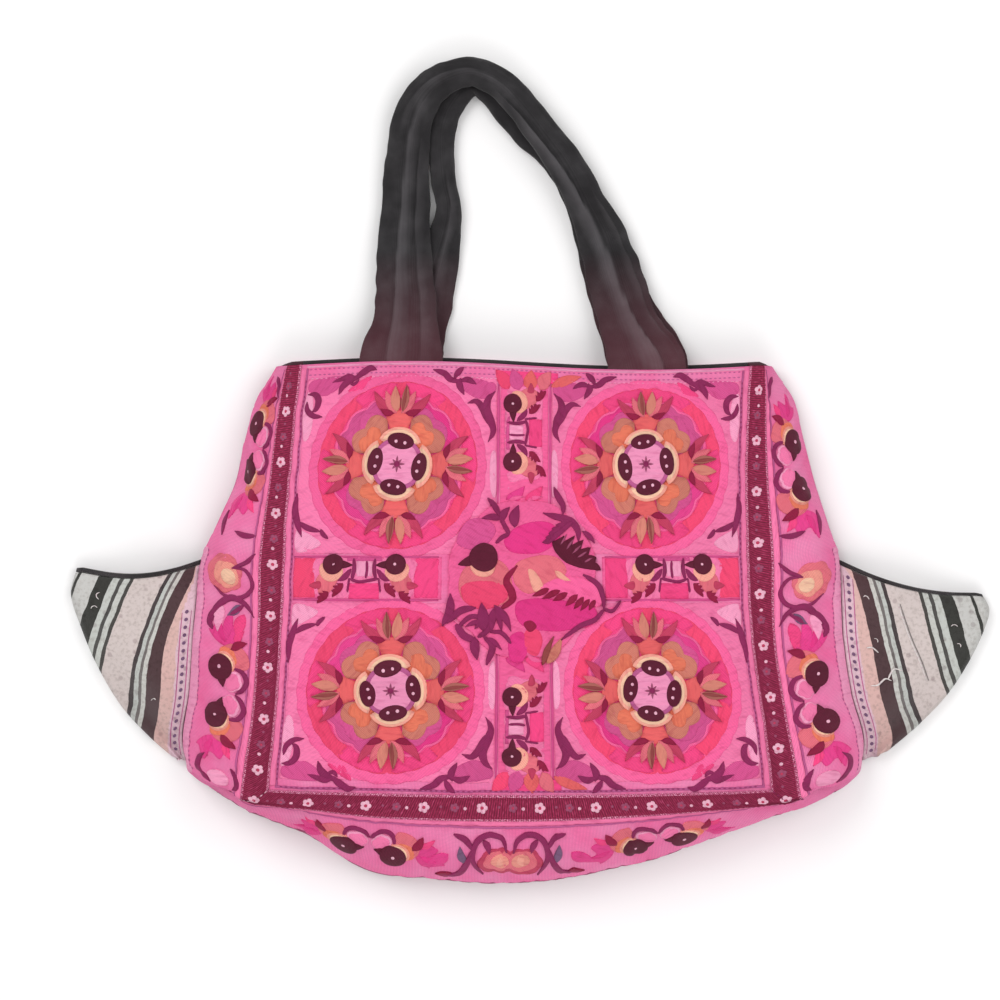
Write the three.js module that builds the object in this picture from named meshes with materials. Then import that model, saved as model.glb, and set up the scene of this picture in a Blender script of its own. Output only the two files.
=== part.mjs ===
// Embroidered cloth tote bag with winged gussets, lying on its back on a flat surface.
// Millimetres, +Z up. The surface is z = 0, the mouth points to +Y and the front faces up.
import * as THREE from 'three';
import { ParametricGeometry } from 'three/addons/geometries/ParametricGeometry.js';
import { mergeGeometries, mergeVertices } from 'three/addons/utils/BufferGeometryUtils.js';

// Cloth thicknesses, and the gap between neighbouring pieces
const FRONT_WALL = 3;
const BACK_WALL = 2.4;
const GUSSET_WALL = 2;
const BINDING_WALL = 2.2;
const BINDING_WIDTH = 3.5;
const FACING_WALL = 1.2;
const RIBBON_WALL = 1.2;
const RIBBON_WIDTH = 16;
const PIECE_GAP = 0.4;
const SEAM_GAP = 0.8;

// The bag in plan
const CENTRE_X = -4;
const RIM_WAVE = 3;
const RIM_WAVE_REACH = 0.2;
const BACK_RIM_RISE = 3.5;
const FOOT_BOW = 3;
const FOOT_BOW_POWER = 4;

// Where the ribbons lie on the panel: across is -1 to 1 between the side seams,
// down is 0 at the mouth and 1 at the bottom seam.
const RIBBON_ACROSS = 0.74;
const RIBBON_DOWN = 0.8;

// The square inside the ribbons, from the bottom ribbon up to the mouth: distance of each side ribbon
// from the centre line, and the height of the front panel at the centre line and at the ribbons
const SQUARE = [
  { y: -223, left: 182, right: 175, centre: 67, edge: 50 },
  { y: -170, left: 175, right: 167, centre: 75, edge: 58 },
  { y: -112, left: 171, right: 159, centre: 73, edge: 57 },
  { y: -38, left: 168, right: 156, centre: 62, edge: 49 },
  { y: 27, left: 163, right: 157, centre: 45, edge: 36 },
  { y: 71, left: 159, right: 161, centre: 30, edge: 25 },
];
const MOUTH_Y = SQUARE.at(-1).y;
const RIBBON_FOOT_Y = SQUARE[0].y;

// Side seams from the bottom corner up to the mouth: distance of each seam from the centre line,
// its height, and how far the front panel has turned over where it meets the seam, in degrees
const SIDE_SEAM = [
  { y: -207, left: 230, right: 230, height: 8, turn: 78 },
  { y: -183, left: 233, right: 231, height: 15, turn: 66 },
  { y: -152, left: 228, right: 222, height: 27, turn: 52 },
  { y: -115, left: 225, right: 216, height: 31, turn: 48 },
  { y: -91, left: 223, right: 215, height: 25, turn: 54 },
  { y: -73, left: 222, right: 215, height: 13.5, turn: 66 },
  { y: -57, left: 219, right: 214, height: 8, turn: 76 },
  { y: -33, left: 209, right: 207, height: 6.4, turn: 80 },
  { y: -8, left: 198, right: 199, height: 6, turn: 80 },
  { y: 19, left: 192, right: 192, height: 6, turn: 80 },
  { y: 48, left: 183, right: 184, height: 6, turn: 80 },
  { y: 71, left: 170, right: 170, height: 6, turn: 80 },
];
const CORNER = { left: 211, right: 214, y: -220 };

// Bottom seam, by distance from the centre line
const BOTTOM_SEAM = [
  { x: -188, y: -234 },
  { x: -150, y: -249 },
  { x: -106, y: -273 },
  { x: -63, y: -279.5 },
  { x: -19, y: -282 },
  { x: 28, y: -279 },
  { x: 86, y: -266 },
  { x: 127, y: -252 },
  { x: 188, y: -230 },
];
const BOTTOM_HEIGHT = 8.6;
const BOTTOM_TURN = 80;
const ROLL_START = 8;

// Back panel: flat on the surface, its edge lifted a little to meet the seams, with a facing at the mouth
const BACK_LIFT = 2.8;
const BACK_LIFT_POWER = 6;
const FACING_DOWN = 0.14;

// Gusset wings: the outer fold from the hem's tip down to the bottom corner
const WING_TOP_Y = -61;
const WING_FOOT_Y = -199;
const WING_FOLD = {
  left: [
    { along: 0, x: -311, y: -67 },
    { along: 0.14, x: -315, y: -85 },
    { along: 0.32, x: -308, y: -108 },
    { along: 0.5, x: -297, y: -134 },
    { along: 0.68, x: -281, y: -161 },
    { along: 0.85, x: -262, y: -182 },
    { along: 1, x: -246, y: -196 },
  ],
  right: [
    { along: 0, x: 310, y: -85 },
    { along: 0.14, x: 315, y: -96 },
    { along: 0.32, x: 310, y: -113 },
    { along: 0.5, x: 300, y: -133 },
    { along: 0.68, x: 286, y: -154 },
    { along: 0.85, x: 266, y: -175 },
    { along: 1, x: 246, y: -192 },
  ],
};
const FOLD_RADIUS = 4;
const UPPER_LEAF = 0.43;
const LOWER_LEAF = 0.57;
const LEAF_FALL_POWER = 1.4;
const HEM_SAG = 7;
const HEM_GAPE = 9;
const HEM_GAPE_POWER = 3;
const CRUMPLE = { height: 2.5, wavesAlong: 1.5, wavesOut: 0.8 };

// Handles: each is a soft cloth strap that keeps its cross-section, so it is thicker where it is gathered.
// Each row has a place on the strap's centre line, the height of its underside and its width.
const STRAP_SECTION = 150;
const STRAP_LEAST = 3.6;
const STRAP_DOME = 0.12;
const STRAP_SQUARENESS = 0.6;
const HANDLE_FRONT = [
  { x: -88, y: 46, under: 26, width: 58 },
  { x: -88, y: 71, under: 19.5, width: 58 },
  { x: -86, y: 96, under: 12.5, width: 48 },
  { x: -85, y: 115, under: 9.5, width: 41 },
  { x: -86, y: 138, under: 7.5, width: 39 },
  { x: -86, y: 161, under: 6, width: 36 },
  { x: -85, y: 185, under: 4.5, width: 33 },
  { x: -84.5, y: 206, under: 5.5, width: 30.5 },
  { x: -83, y: 226, under: 6.5, width: 29 },
  { x: -79, y: 245, under: 9.5, width: 27 },
  { x: -69, y: 260, under: 10.5, width: 25 },
  { x: -55, y: 269, under: 10.5, width: 22 },
  { x: -39, y: 272, under: 10.5, width: 20 },
  { x: -20.5, y: 264, under: 10.5, width: 20.5 },
  { x: -5, y: 248, under: 10.3, width: 22 },
  { x: 10, y: 228.5, under: 10, width: 23 },
  { x: 24.5, y: 208.5, under: 9.2, width: 25 },
  { x: 37, y: 185, under: 8, width: 26.5 },
  { x: 49, y: 159.5, under: 7, width: 33 },
  { x: 57.5, y: 133.5, under: 6.5, width: 38 },
  { x: 65, y: 108, under: 8.5, width: 40 },
  { x: 72, y: 89, under: 13, width: 44 },
  { x: 78.5, y: 71, under: 19.5, width: 54 },
  { x: 80, y: 46, under: 26, width: 55 },
];
const HANDLE_BACK = [
  { x: -87, y: 45, under: 4.6, width: 55 },
  { x: -84.5, y: 80, under: 5, width: 51 },
  { x: -79, y: 97, under: 1.4, width: 44 },
  { x: -72, y: 116.5, under: 0.3, width: 38 },
  { x: -64.5, y: 140.5, under: 0.3, width: 31 },
  { x: -58, y: 164, under: 0.3, width: 22 },
  { x: -56, y: 181.5, under: 0.3, width: 17 },
  { x: -59.5, y: 198.5, under: 0.3, width: 17 },
  { x: -61, y: 219, under: 0.3, width: 18 },
  { x: -60, y: 236, under: 0.3, width: 19 },
  { x: -53.5, y: 252, under: 0.3, width: 19 },
  { x: -41, y: 265, under: 0.3, width: 18 },
  { x: -28.5, y: 261, under: 0.3, width: 18 },
  { x: -14, y: 244, under: 0.3, width: 19 },
  { x: -1, y: 229.5, under: 0.3, width: 19 },
  { x: 14.5, y: 217, under: 0.3, width: 20.5 },
  { x: 28.5, y: 198.5, under: 0.3, width: 23 },
  { x: 41, y: 174.5, under: 0.3, width: 28 },
  { x: 51, y: 147, under: 0.3, width: 35 },
  { x: 60, y: 122, under: 0.3, width: 41 },
  { x: 70.5, y: 96, under: 1.6, width: 46 },
  { x: 80, y: 72, under: 4.6, width: 55 },
  { x: 81, y: 45, under: 4.6, width: 55 },
];

// How finely the cloth is divided
const BORDER_CELLS = 5;
const RIBBON_CELLS = 2;
const SQUARE_CELLS = 14;
const DOWN_CELLS = 15;
const GUSSET_CELLS_ALONG = 12;
const GUSSET_CELLS_AROUND = 22;
const FACING_CELLS = 3;
const STRAP_STEPS = 46;
const STRAP_SIDES = 12;
const NORMAL_STEP = 1e-4;
const MERGE_WITHIN = 1e-4;

const LEFT = -1;
const RIGHT = 1;
const { lerp, clamp, degToRad } = THREE.MathUtils;

// One column of a table, smoothly interpolated at a value of its key column
function readColumn(rows, key, column, at) {
  const last = rows.length - 1;
  const found = rows.findIndex((row) => row[key] >= at);
  const i = clamp((found < 0 ? last : found) - 1, 0, last - 1);
  const slope = (k) => {
    const before = rows[Math.max(k - 1, 0)];
    const after = rows[Math.min(k + 1, last)];
    return (after[column] - before[column]) / (after[key] - before[key]);
  };
  const [low, high] = [rows[i], rows[i + 1]];
  const span = high[key] - low[key];
  const u = clamp((at - low[key]) / span, 0, 1);
  const ease = u * u * (3 - 2 * u);
  const lean = u * (1 - u) * span * ((1 - u) * slope(i) - u * slope(i + 1));
  return lerp(low[column], high[column], ease) + lean;
}

const sideName = (side) => (side < 0 ? 'left' : 'right');

// Plan and height of a roll of cloth that starts nearly level and turns over by an angle
function rollOver(share, turnDegrees) {
  const start = degToRad(ROLL_START);
  const end = degToRad(turnDegrees);
  const angle = lerp(start, end, share);
  return {
    out: (Math.sin(angle) - Math.sin(start)) / (Math.sin(end) - Math.sin(start)),
    up: (Math.cos(angle) - Math.cos(end)) / (Math.cos(start) - Math.cos(end)),
  };
}

// A column of the square's table level with a place down the panel
function squareColumn(column, down) {
  const y = lerp(MOUTH_Y, RIBBON_FOOT_Y, clamp(down / RIBBON_DOWN, 0, 1));
  return readColumn(SQUARE, 'y', column, y);
}

// A point of the square inside the ribbons, in plan; across and down are held to the ribbons
function squarePoint(across, down) {
  const a = clamp(across / RIBBON_ACROSS, -1, 1);
  const d = clamp(down / RIBBON_DOWN, 0, 1);
  const half = squareColumn(sideName(across), down);
  const wave = RIM_WAVE * Math.sin(Math.PI * a) * Math.max(0, 1 - d / RIM_WAVE_REACH);
  const bow = FOOT_BOW * (1 - a * a) * d ** FOOT_BOW_POWER;
  return new THREE.Vector2(CENTRE_X + a * half, lerp(MOUTH_Y, RIBBON_FOOT_Y, d) - wave - bow);
}

// The side seam level with a place down the panel
function sideSeam(side, down) {
  const y = lerp(MOUTH_Y, SIDE_SEAM[0].y, clamp(down / RIBBON_DOWN, 0, 1));
  const read = (column) => readColumn(SIDE_SEAM, 'y', column, y);
  const x = CENTRE_X + side * read(sideName(side));
  return { plan: new THREE.Vector2(x, y), height: read('height'), turn: read('turn') };
}

// The bottom seam below a place across the panel
function bottomSeam(across) {
  const a = clamp(across / RIBBON_ACROSS, -1, 1);
  const x = lerp(BOTTOM_SEAM[0].x, BOTTOM_SEAM.at(-1).x, (a + 1) / 2);
  return new THREE.Vector2(CENTRE_X + x, readColumn(BOTTOM_SEAM, 'x', 'y', x));
}

// Plan of the panel: the square, and borders that run out to the seams by the given shares
function panelPlan(across, down, sideShare, bottomShare) {
  const side = across < 0 ? LEFT : RIGHT;
  const inner = squarePoint(across, down);
  const toSide = sideSeam(side, down).plan.sub(squarePoint(side, down));
  const toBottom = bottomSeam(across).sub(squarePoint(across, 1));
  const corner = new THREE.Vector2(CENTRE_X + side * CORNER[sideName(side)], CORNER.y);
  const twist = corner.sub(squarePoint(side, 1)).sub(toSide).sub(toBottom);
  return inner
    .addScaledVector(toSide, sideShare)
    .addScaledVector(toBottom, bottomShare)
    .addScaledVector(twist, sideShare * bottomShare);
}

// How far a place lies out on the side border and on the bottom border, from 0 to 1
const sideBorder = (across) => Math.max(0, (Math.abs(across) - RIBBON_ACROSS) / (1 - RIBBON_ACROSS));
const bottomBorder = (down) => Math.max(0, (down - RIBBON_DOWN) / (1 - RIBBON_DOWN));

// Outer surface of the front panel
function frontSurface(across, down) {
  const side = across < 0 ? LEFT : RIGHT;
  const seam = sideSeam(side, down);
  const overSide = rollOver(sideBorder(across), seam.turn);
  const overBottom = rollOver(bottomBorder(down), BOTTOM_TURN);
  const plan = panelPlan(across, down, overSide.out, overBottom.out);
  const a = clamp(across / RIBBON_ACROSS, -1, 1);
  const edge = squareColumn('edge', down);
  const crown = squareColumn('centre', down) - edge;
  const seamHeight = lerp(seam.height, BOTTOM_HEIGHT, bottomBorder(down));
  const rise = edge + crown * (1 - a * a) - seamHeight;
  return new THREE.Vector3(plan.x, plan.y, seamHeight + rise * overSide.up * overBottom.up);
}

// Outer, lower surface of the back panel
function backSurface(across, down) {
  const sideShare = sideBorder(across);
  const bottomShare = bottomBorder(down);
  const plan = panelPlan(across, down, sideShare, bottomShare);
  const nearEdge = Math.max(sideShare, bottomShare);
  const nearRim = Math.max(0, 1 - down / RIM_WAVE_REACH);
  const rimRise = BACK_RIM_RISE * nearRim * (1 - sideShare);
  return new THREE.Vector3(plan.x, plan.y + rimRise, BACK_LIFT * nearEdge ** BACK_LIFT_POWER);
}

// The two ends of a gusset's section, level with a place along the wing: its seam and its outer fold
function gussetSection(side, along) {
  const y = lerp(WING_TOP_Y, WING_FOOT_Y, along);
  const seam = sideSeam(side, (RIBBON_DOWN * (MOUTH_Y - y)) / (MOUTH_Y - SIDE_SEAM[0].y));
  const read = (column) => readColumn(WING_FOLD[sideName(side)], 'along', column, along);
  return { seam, fold: new THREE.Vector2(read('x'), read('y')) };
}

// Outer surface of a gusset: along runs from the hem to the bottom corner,
// around runs from the front seam over the upper leaf, the wing's fold and the lower leaf to the back seam
function gussetSurface(side, along, around) {
  const { seam, fold } = gussetSection(side, along);
  const reach = fold.distanceTo(seam.plan);
  const upper = around < 0.5;
  const leaf = Math.min(1, upper ? around / UPPER_LEAF : (1 - around) / (1 - LOWER_LEAF));
  const bend = clamp((around - UPPER_LEAF) / (LOWER_LEAF - UPPER_LEAF), 0, 1) * Math.PI;
  const distance = lerp(SEAM_GAP, reach - FOLD_RADIUS, leaf) + FOLD_RADIUS * Math.sin(bend);
  const middle = Math.sin(Math.PI * leaf);
  const plan = seam.plan.clone().lerp(fold, distance / reach);
  plan.y -= HEM_SAG * middle * (1 - along);
  let height = FOLD_RADIUS * (1 + Math.cos(bend));
  if (upper) {
    const fall = (seam.height - 2 * FOLD_RADIUS) * (1 - leaf) ** LEAF_FALL_POWER;
    const gape = HEM_GAPE * middle * (1 - along) ** HEM_GAPE_POWER;
    const waves = CRUMPLE.wavesAlong * along + CRUMPLE.wavesOut * leaf;
    height += fall + gape + CRUMPLE.height * middle * Math.sin(2 * Math.PI * waves);
  } else {
    height += BACK_LIFT * (1 - leaf) ** BACK_LIFT_POWER;
  }
  return new THREE.Vector3(plan.x, plan.y, height);
}

// Outward normal of a surface, facing the way that u then v turn
function surfaceNormal(surface, u, v) {
  const step = (at) => [Math.max(at - NORMAL_STEP, 0), Math.min(at + NORMAL_STEP, 1)];
  const [u0, u1] = step(u);
  const [v0, v1] = step(v);
  const alongU = surface(u1, v).sub(surface(u0, v));
  const alongV = surface(u, v1).sub(surface(u, v0));
  return alongU.cross(alongV).normalize();
}

// Closed wall of cloth: a surface over the unit square, given its thickness inwards from a raised skin
function clothWall(surface, columns, rows, thickness, raised = 0) {
  const layer = (u, v, depth) => surface(u, v).addScaledVector(surfaceNormal(surface, u, v), raised - depth);
  const sheet = (place, across, down) =>
    new ParametricGeometry((u, v, target) => target.copy(layer(...place(u, v))), across, down);
  const sheets = [
    sheet((u, v) => [u, v, 0], columns, rows),
    sheet((u, v) => [1 - u, v, thickness], columns, rows),
    sheet((u, w) => [u, 0, thickness * (1 - w)], columns, 1),
    sheet((u, w) => [u, 1, thickness * w], columns, 1),
    sheet((v, w) => [0, v, thickness * w], rows, 1),
    sheet((v, w) => [1, v, thickness * (1 - w)], rows, 1),
  ];
  const joined = mergeGeometries(sheets);
  joined.deleteAttribute('normal');
  joined.deleteAttribute('uv');
  const closed = mergeVertices(joined, MERGE_WITHIN);
  closed.computeVertexNormals();
  return closed;
}

// Evenly divided stretches of a line, from one mark to the next
function gridLines(marks, cells) {
  const lines = [marks[0]];
  cells.forEach((count, i) => {
    for (let k = 1; k <= count; k += 1) lines.push(lerp(marks[i], marks[i + 1], k / count));
  });
  return lines;
}

// The value of a list of grid lines at a share from 0 to 1 of its length
function alongLines(lines, share) {
  const place = share * (lines.length - 1);
  const i = Math.min(Math.floor(place), lines.length - 2);
  return lerp(lines[i], lines[i + 1], place - i);
}

// Grid lines of the panels, which fall on both edges of the ribbons
const PANEL_LENGTH_ACROSS = SQUARE[2].left / RIBBON_ACROSS;
const PANEL_LENGTH_DOWN = (MOUTH_Y - RIBBON_FOOT_Y) / RIBBON_DOWN;
const RIBBON_HALF_ACROSS = RIBBON_WIDTH / 2 / PANEL_LENGTH_ACROSS;
const RIBBON_HALF_DOWN = RIBBON_WIDTH / 2 / PANEL_LENGTH_DOWN;
const RIBBON_IN = RIBBON_ACROSS - RIBBON_HALF_ACROSS;
const RIBBON_OUT = RIBBON_ACROSS + RIBBON_HALF_ACROSS;
const RIBBON_UPPER = RIBBON_DOWN - RIBBON_HALF_DOWN;
const RIBBON_LOWER = RIBBON_DOWN + RIBBON_HALF_DOWN;
const LINES_ACROSS = gridLines(
  [-1, -RIBBON_OUT, -RIBBON_IN, RIBBON_IN, RIBBON_OUT, 1],
  [BORDER_CELLS, RIBBON_CELLS, SQUARE_CELLS, RIBBON_CELLS, BORDER_CELLS],
);
const LINES_DOWN = gridLines(
  [0, RIBBON_UPPER, RIBBON_LOWER, 1],
  [DOWN_CELLS, RIBBON_CELLS, BORDER_CELLS],
);

// A stretch of the panels' grid as a surface over the unit square; down runs backwards so that it faces up
function panelPatch(surface, linesAcross, linesDown, facing) {
  return (u, v) => {
    const down = alongLines(linesDown, facing > 0 ? 1 - v : v);
    return surface(alongLines(linesAcross, u), down);
  };
}

const between = (lines, low, high) => lines.filter((at) => at > low - 1e-6 && at < high + 1e-6);

function panelWall(surface, facing, linesAcross, linesDown, thickness, raised = 0) {
  const patch = panelPatch(surface, linesAcross, linesDown, facing);
  return clothWall(patch, linesAcross.length - 1, linesDown.length - 1, thickness, raised);
}

// A ribbon sewn onto the front panel, over a stretch of the panel's grid
function ribbonWall(linesAcross, linesDown) {
  return panelWall(frontSurface, 1, linesAcross, linesDown, RIBBON_WALL, RIBBON_WALL + PIECE_GAP);
}

// Dark cloth facing on the inside of the back panel, at the mouth
function facingWall() {
  const across = between(LINES_ACROSS, -RIBBON_IN, RIBBON_IN);
  const down = gridLines([0, FACING_DOWN], [FACING_CELLS]);
  const raised = -(BACK_WALL + PIECE_GAP);
  return panelWall(backSurface, -1, across, down, FACING_WALL, raised);
}

// A gusset between two places along it; the left one is run the other way round so that it faces out
function gussetWall(side, from, to, cells, thickness) {
  const surface = (u, v) => gussetSurface(side, lerp(from, to, side < 0 ? 1 - u : u), v);
  return clothWall(surface, cells, GUSSET_CELLS_AROUND, thickness);
}

// Handle: rounded sections along a smooth path, narrow and thick where the cloth is gathered
function handleSolid(rows) {
  const path = new THREE.CatmullRomCurve3(rows.map((row) => new THREE.Vector3(row.x, row.y, row.under)));
  const widths = new THREE.CatmullRomCurve3(rows.map((row) => new THREE.Vector3(row.width, 0, 0)));
  const up = new THREE.Vector3(0, 0, 1);
  const ring = (t, angle) => {
    const width = widths.getPoint(t).x;
    const thick = Math.max(STRAP_SECTION / width, STRAP_LEAST);
    const tangent = path.getTangent(t);
    const across = tangent.clone().cross(up).normalize();
    const over = across.clone().cross(tangent);
    const flat = (value) => Math.sign(value) * Math.abs(value) ** STRAP_SQUARENESS;
    const sideways = (flat(Math.cos(angle)) * width) / 2;
    const dome = STRAP_DOME * thick * (1 - (2 * sideways / width) ** 2);
    return path
      .getPoint(t)
      .addScaledVector(across, sideways)
      .addScaledVector(over, ((1 + flat(Math.sin(angle))) * thick) / 2 + dome);
  };
  const skin = new ParametricGeometry(
    (u, t, target) => target.copy(ring(t, -2 * Math.PI * u)),
    STRAP_SIDES,
    STRAP_STEPS,
  );
  const cap = (t, turn) =>
    new ParametricGeometry(
      (u, v, target) => target.copy(ring(t, turn * 2 * Math.PI * u)).lerp(path.getPoint(t), v),
      STRAP_SIDES,
      1,
    );
  const joined = mergeGeometries([skin, cap(0, 1), cap(1, -1)]);
  joined.deleteAttribute('normal');
  joined.deleteAttribute('uv');
  const merged = mergeVertices(joined, MERGE_WITHIN);
  merged.setIndex(withoutSlivers(merged.index.array));
  merged.computeVertexNormals();
  return merged;
}

// Triangles with three different corners
function withoutSlivers(index) {
  const kept = [];
  for (let i = 0; i < index.length; i += 3) {
    const [a, b, c] = index.slice(i, i + 3);
    if (a !== b && b !== c && c !== a) kept.push(a, b, c);
  }
  return kept;
}

// Finishes
const finish = (color, roughness) => new THREE.MeshStandardMaterial({ color, roughness, metalness: 0 });
const EMBROIDERED = finish('#ee4f93', 0.75);
const PLAIN_PINK = finish('#e0679b', 0.85);
const BATIK = finish('#b9b2b2', 0.9);
const MAROON_RIBBON = finish('#6d1539', 0.7);
const DARK_CLOTH = finish('#2c2729', 0.9);
const BLACK_COTTON = finish('#2f2d2e', 0.9);

const bag = new THREE.Group();
function addPiece(name, geometry, material) {
  const piece = new THREE.Mesh(geometry, material);
  piece.name = name;
  bag.add(piece);
}

addPiece('front_panel', panelWall(frontSurface, 1, LINES_ACROSS, LINES_DOWN, FRONT_WALL), EMBROIDERED);
addPiece('back_panel', panelWall(backSurface, -1, LINES_ACROSS, LINES_DOWN, BACK_WALL), PLAIN_PINK);
addPiece('mouth_facing', facingWall(), DARK_CLOTH);

const RIBBON_END = RIBBON_UPPER - PIECE_GAP / PANEL_LENGTH_DOWN;
const DOWN_TO_RIBBON = [...between(LINES_DOWN, 0, RIBBON_UPPER).slice(0, -1), RIBBON_END];
const DOWN_ON_RIBBON = between(LINES_DOWN, RIBBON_UPPER, RIBBON_LOWER);
const ACROSS_LEFT = between(LINES_ACROSS, -RIBBON_OUT, -RIBBON_IN);
const ACROSS_RIGHT = between(LINES_ACROSS, RIBBON_IN, RIBBON_OUT);
const ACROSS_ALL = between(LINES_ACROSS, -RIBBON_OUT, RIBBON_OUT);
addPiece('ribbon_left', ribbonWall(ACROSS_LEFT, DOWN_TO_RIBBON), MAROON_RIBBON);
addPiece('ribbon_right', ribbonWall(ACROSS_RIGHT, DOWN_TO_RIBBON), MAROON_RIBBON);
addPiece('ribbon_bottom', ribbonWall(ACROSS_ALL, DOWN_ON_RIBBON), MAROON_RIBBON);

const WING_LENGTH = WING_TOP_Y - WING_FOOT_Y;
const HEM = BINDING_WIDTH / WING_LENGTH;
const HEM_END = HEM + SEAM_GAP / WING_LENGTH;
[LEFT, RIGHT].forEach((side) => {
  const name = sideName(side);
  addPiece(`gusset_${name}`, gussetWall(side, HEM_END, 1, GUSSET_CELLS_ALONG, GUSSET_WALL), BATIK);
  addPiece(`hem_binding_${name}`, gussetWall(side, 0, HEM, 1, BINDING_WALL), DARK_CLOTH);
});

addPiece('handle_front', handleSolid(HANDLE_FRONT), BLACK_COTTON);
addPiece('handle_back', handleSolid(HANDLE_BACK), BLACK_COTTON);

export default bag;
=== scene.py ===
# %% [markdown]
# # An embroidered tote bag
# The bag lies on its back on a pale table, seen from straight above. It has an embroidered front, a plain
# back, a wing of striped cloth at each side and two soft black handles. The CAD model gives every piece its
# place and size. Here each plain solid is replaced by cloth that swells, folds and carries its stitching.
# The model is loaded first, so that the cloth and the solids share one frame.

import math
import random

import bmesh
import bpy
import numpy as np
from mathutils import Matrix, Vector, noise
from mathutils.geometry import delaunay_2d_cdt


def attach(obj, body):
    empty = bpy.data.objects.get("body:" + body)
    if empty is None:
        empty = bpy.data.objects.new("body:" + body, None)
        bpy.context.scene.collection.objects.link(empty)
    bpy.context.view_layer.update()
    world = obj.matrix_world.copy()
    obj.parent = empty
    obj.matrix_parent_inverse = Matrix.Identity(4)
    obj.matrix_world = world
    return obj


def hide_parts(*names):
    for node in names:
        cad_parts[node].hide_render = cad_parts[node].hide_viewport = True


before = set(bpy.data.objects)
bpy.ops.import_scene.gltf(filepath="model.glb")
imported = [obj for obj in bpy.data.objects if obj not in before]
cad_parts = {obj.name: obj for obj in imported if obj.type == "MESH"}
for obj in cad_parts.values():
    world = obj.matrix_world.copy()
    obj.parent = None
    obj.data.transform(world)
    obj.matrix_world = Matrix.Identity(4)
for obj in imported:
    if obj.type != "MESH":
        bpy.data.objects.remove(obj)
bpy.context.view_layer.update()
scene = bpy.context.scene
MM = 0.001
print("CAD nodes:", ", ".join(sorted(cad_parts)))

# %% [markdown]
# ## Camera, table and light
# The photograph was taken from straight above. A camera that looks down needs no turning in Blender,
# because an unturned camera looks along -Z with +Y up. Its lens could be found by trying. Here it is worked
# out from how much of the cloth a pixel covers, so the picture has the right scale at once.

# %% Camera
IMAGE_SIDE = 1000
PIXEL = 0.67 * MM
PIXEL_PLANE = 60 * MM
CAMERA_PLACE = Vector((-20.7 * MM, -20.4 * MM, 2.4))

camera_data = bpy.data.cameras.new("camera")
camera_data.lens = camera_data.sensor_width * (CAMERA_PLACE.z - PIXEL_PLANE) / (IMAGE_SIDE * PIXEL)
camera = bpy.data.objects.new("camera", camera_data)
camera.location = CAMERA_PLACE
scene.collection.objects.link(camera)
scene.camera = camera
print(f"camera lens {camera_data.lens:.1f} mm")

# %% [markdown]
# Every material below is a small tree of nodes. The trees could be clicked together in the Shader Editor,
# but nodes made by code can be read, repeated and changed in one place. A few helpers keep that short: one
# adds a node and sets its inputs, one turns a colour written as #rrggbb into the linear values that shaders
# expect, and the others add the nodes that are needed again and again.


# %% Node helpers
def linear(hex_colour):
    """A colour written as #rrggbb, in the linear light that shaders use."""
    parts = [int(hex_colour[i : i + 2], 16) / 255 for i in (1, 3, 5)]
    return [c / 12.92 if c < 0.04045 else ((c + 0.055) / 1.055) ** 2.4 for c in parts] + [1.0]


def add_node(tree, kind, inputs=(), output=0, **settings):
    """Adds a node and returns one output. Each input is a value, or the output of another node."""
    node = tree.nodes.new(kind)
    for key, value in settings.items():
        setattr(node, key, value)
    for key, value in dict(inputs).items():
        if isinstance(value, bpy.types.NodeSocket):
            tree.links.new(value, node.inputs[key])
        else:
            node.inputs[key].default_value = value
    return node.outputs[output]


def new_material(name, roughness, sheen=0.0):
    material = bpy.data.materials.new(name)
    material.use_nodes = True
    shader = material.node_tree.nodes["Principled BSDF"]
    shader.inputs["Roughness"].default_value = roughness
    shader.inputs["Sheen Weight"].default_value = sheen
    shader.inputs["Specular IOR Level"].default_value = 0.25
    return material, material.node_tree, shader


def object_places(tree):
    return add_node(tree, "ShaderNodeTexCoord", output="Object")


def blotches(tree, places, scale, detail):
    """Cloudy noise from 0 to 1."""
    inputs = {"Vector": places, "Scale": scale, "Detail": detail}
    return add_node(tree, "ShaderNodeTexNoise", inputs, "Fac")


def ramp(tree, value, *stops, interpolation="LINEAR"):
    """A Color Ramp with stops of (position, #rrggbb)."""
    colour = add_node(tree, "ShaderNodeValToRGB", {"Fac": value})
    colour.node.color_ramp.interpolation = interpolation
    elements = colour.node.color_ramp.elements
    while len(elements) < len(stops):
        elements.new(1.0)
    for element, (position, tone) in zip(elements, stops):
        element.position = position
        element.color = linear(tone)
    return colour


# %% [markdown]
# The table is one large square. Soft light comes from three big lamps and from a pale surrounding, as in a
# studio tent, so that folds are readable but nothing throws a hard shadow. One sun lamp would be simpler,
# but it would draw a dark edge beside the bag.

# %% Table and lamps
TABLE_HALF = 4.0
TABLE_DROP = 0.3 * MM
WORLD_LIGHT = 0.66

table_paint, tree, shader = new_material("pale_table", 0.6)
table_map = {"Vector": object_places(tree), "Location": [0.5] * 3, "Scale": [0.5 / TABLE_HALF] * 3}
speckle = blotches(tree, add_node(tree, "ShaderNodeMapping", table_map), 3.0, 2.0)
tree.links.new(ramp(tree, speckle, (0.3, "#f4f3f3"), (0.7, "#fbfafa")), shader.inputs["Base Color"])

bm = bmesh.new()
bmesh.ops.create_grid(bm, x_segments=1, y_segments=1, size=TABLE_HALF)
bmesh.ops.translate(bm, vec=(0, 0, -TABLE_DROP), verts=bm.verts)
table_mesh = bpy.data.meshes.new("table")
bm.to_mesh(table_mesh)
bm.free()
table_mesh.materials.append(table_paint)
table = bpy.data.objects.new("table", table_mesh)
scene.collection.objects.link(table)

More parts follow.
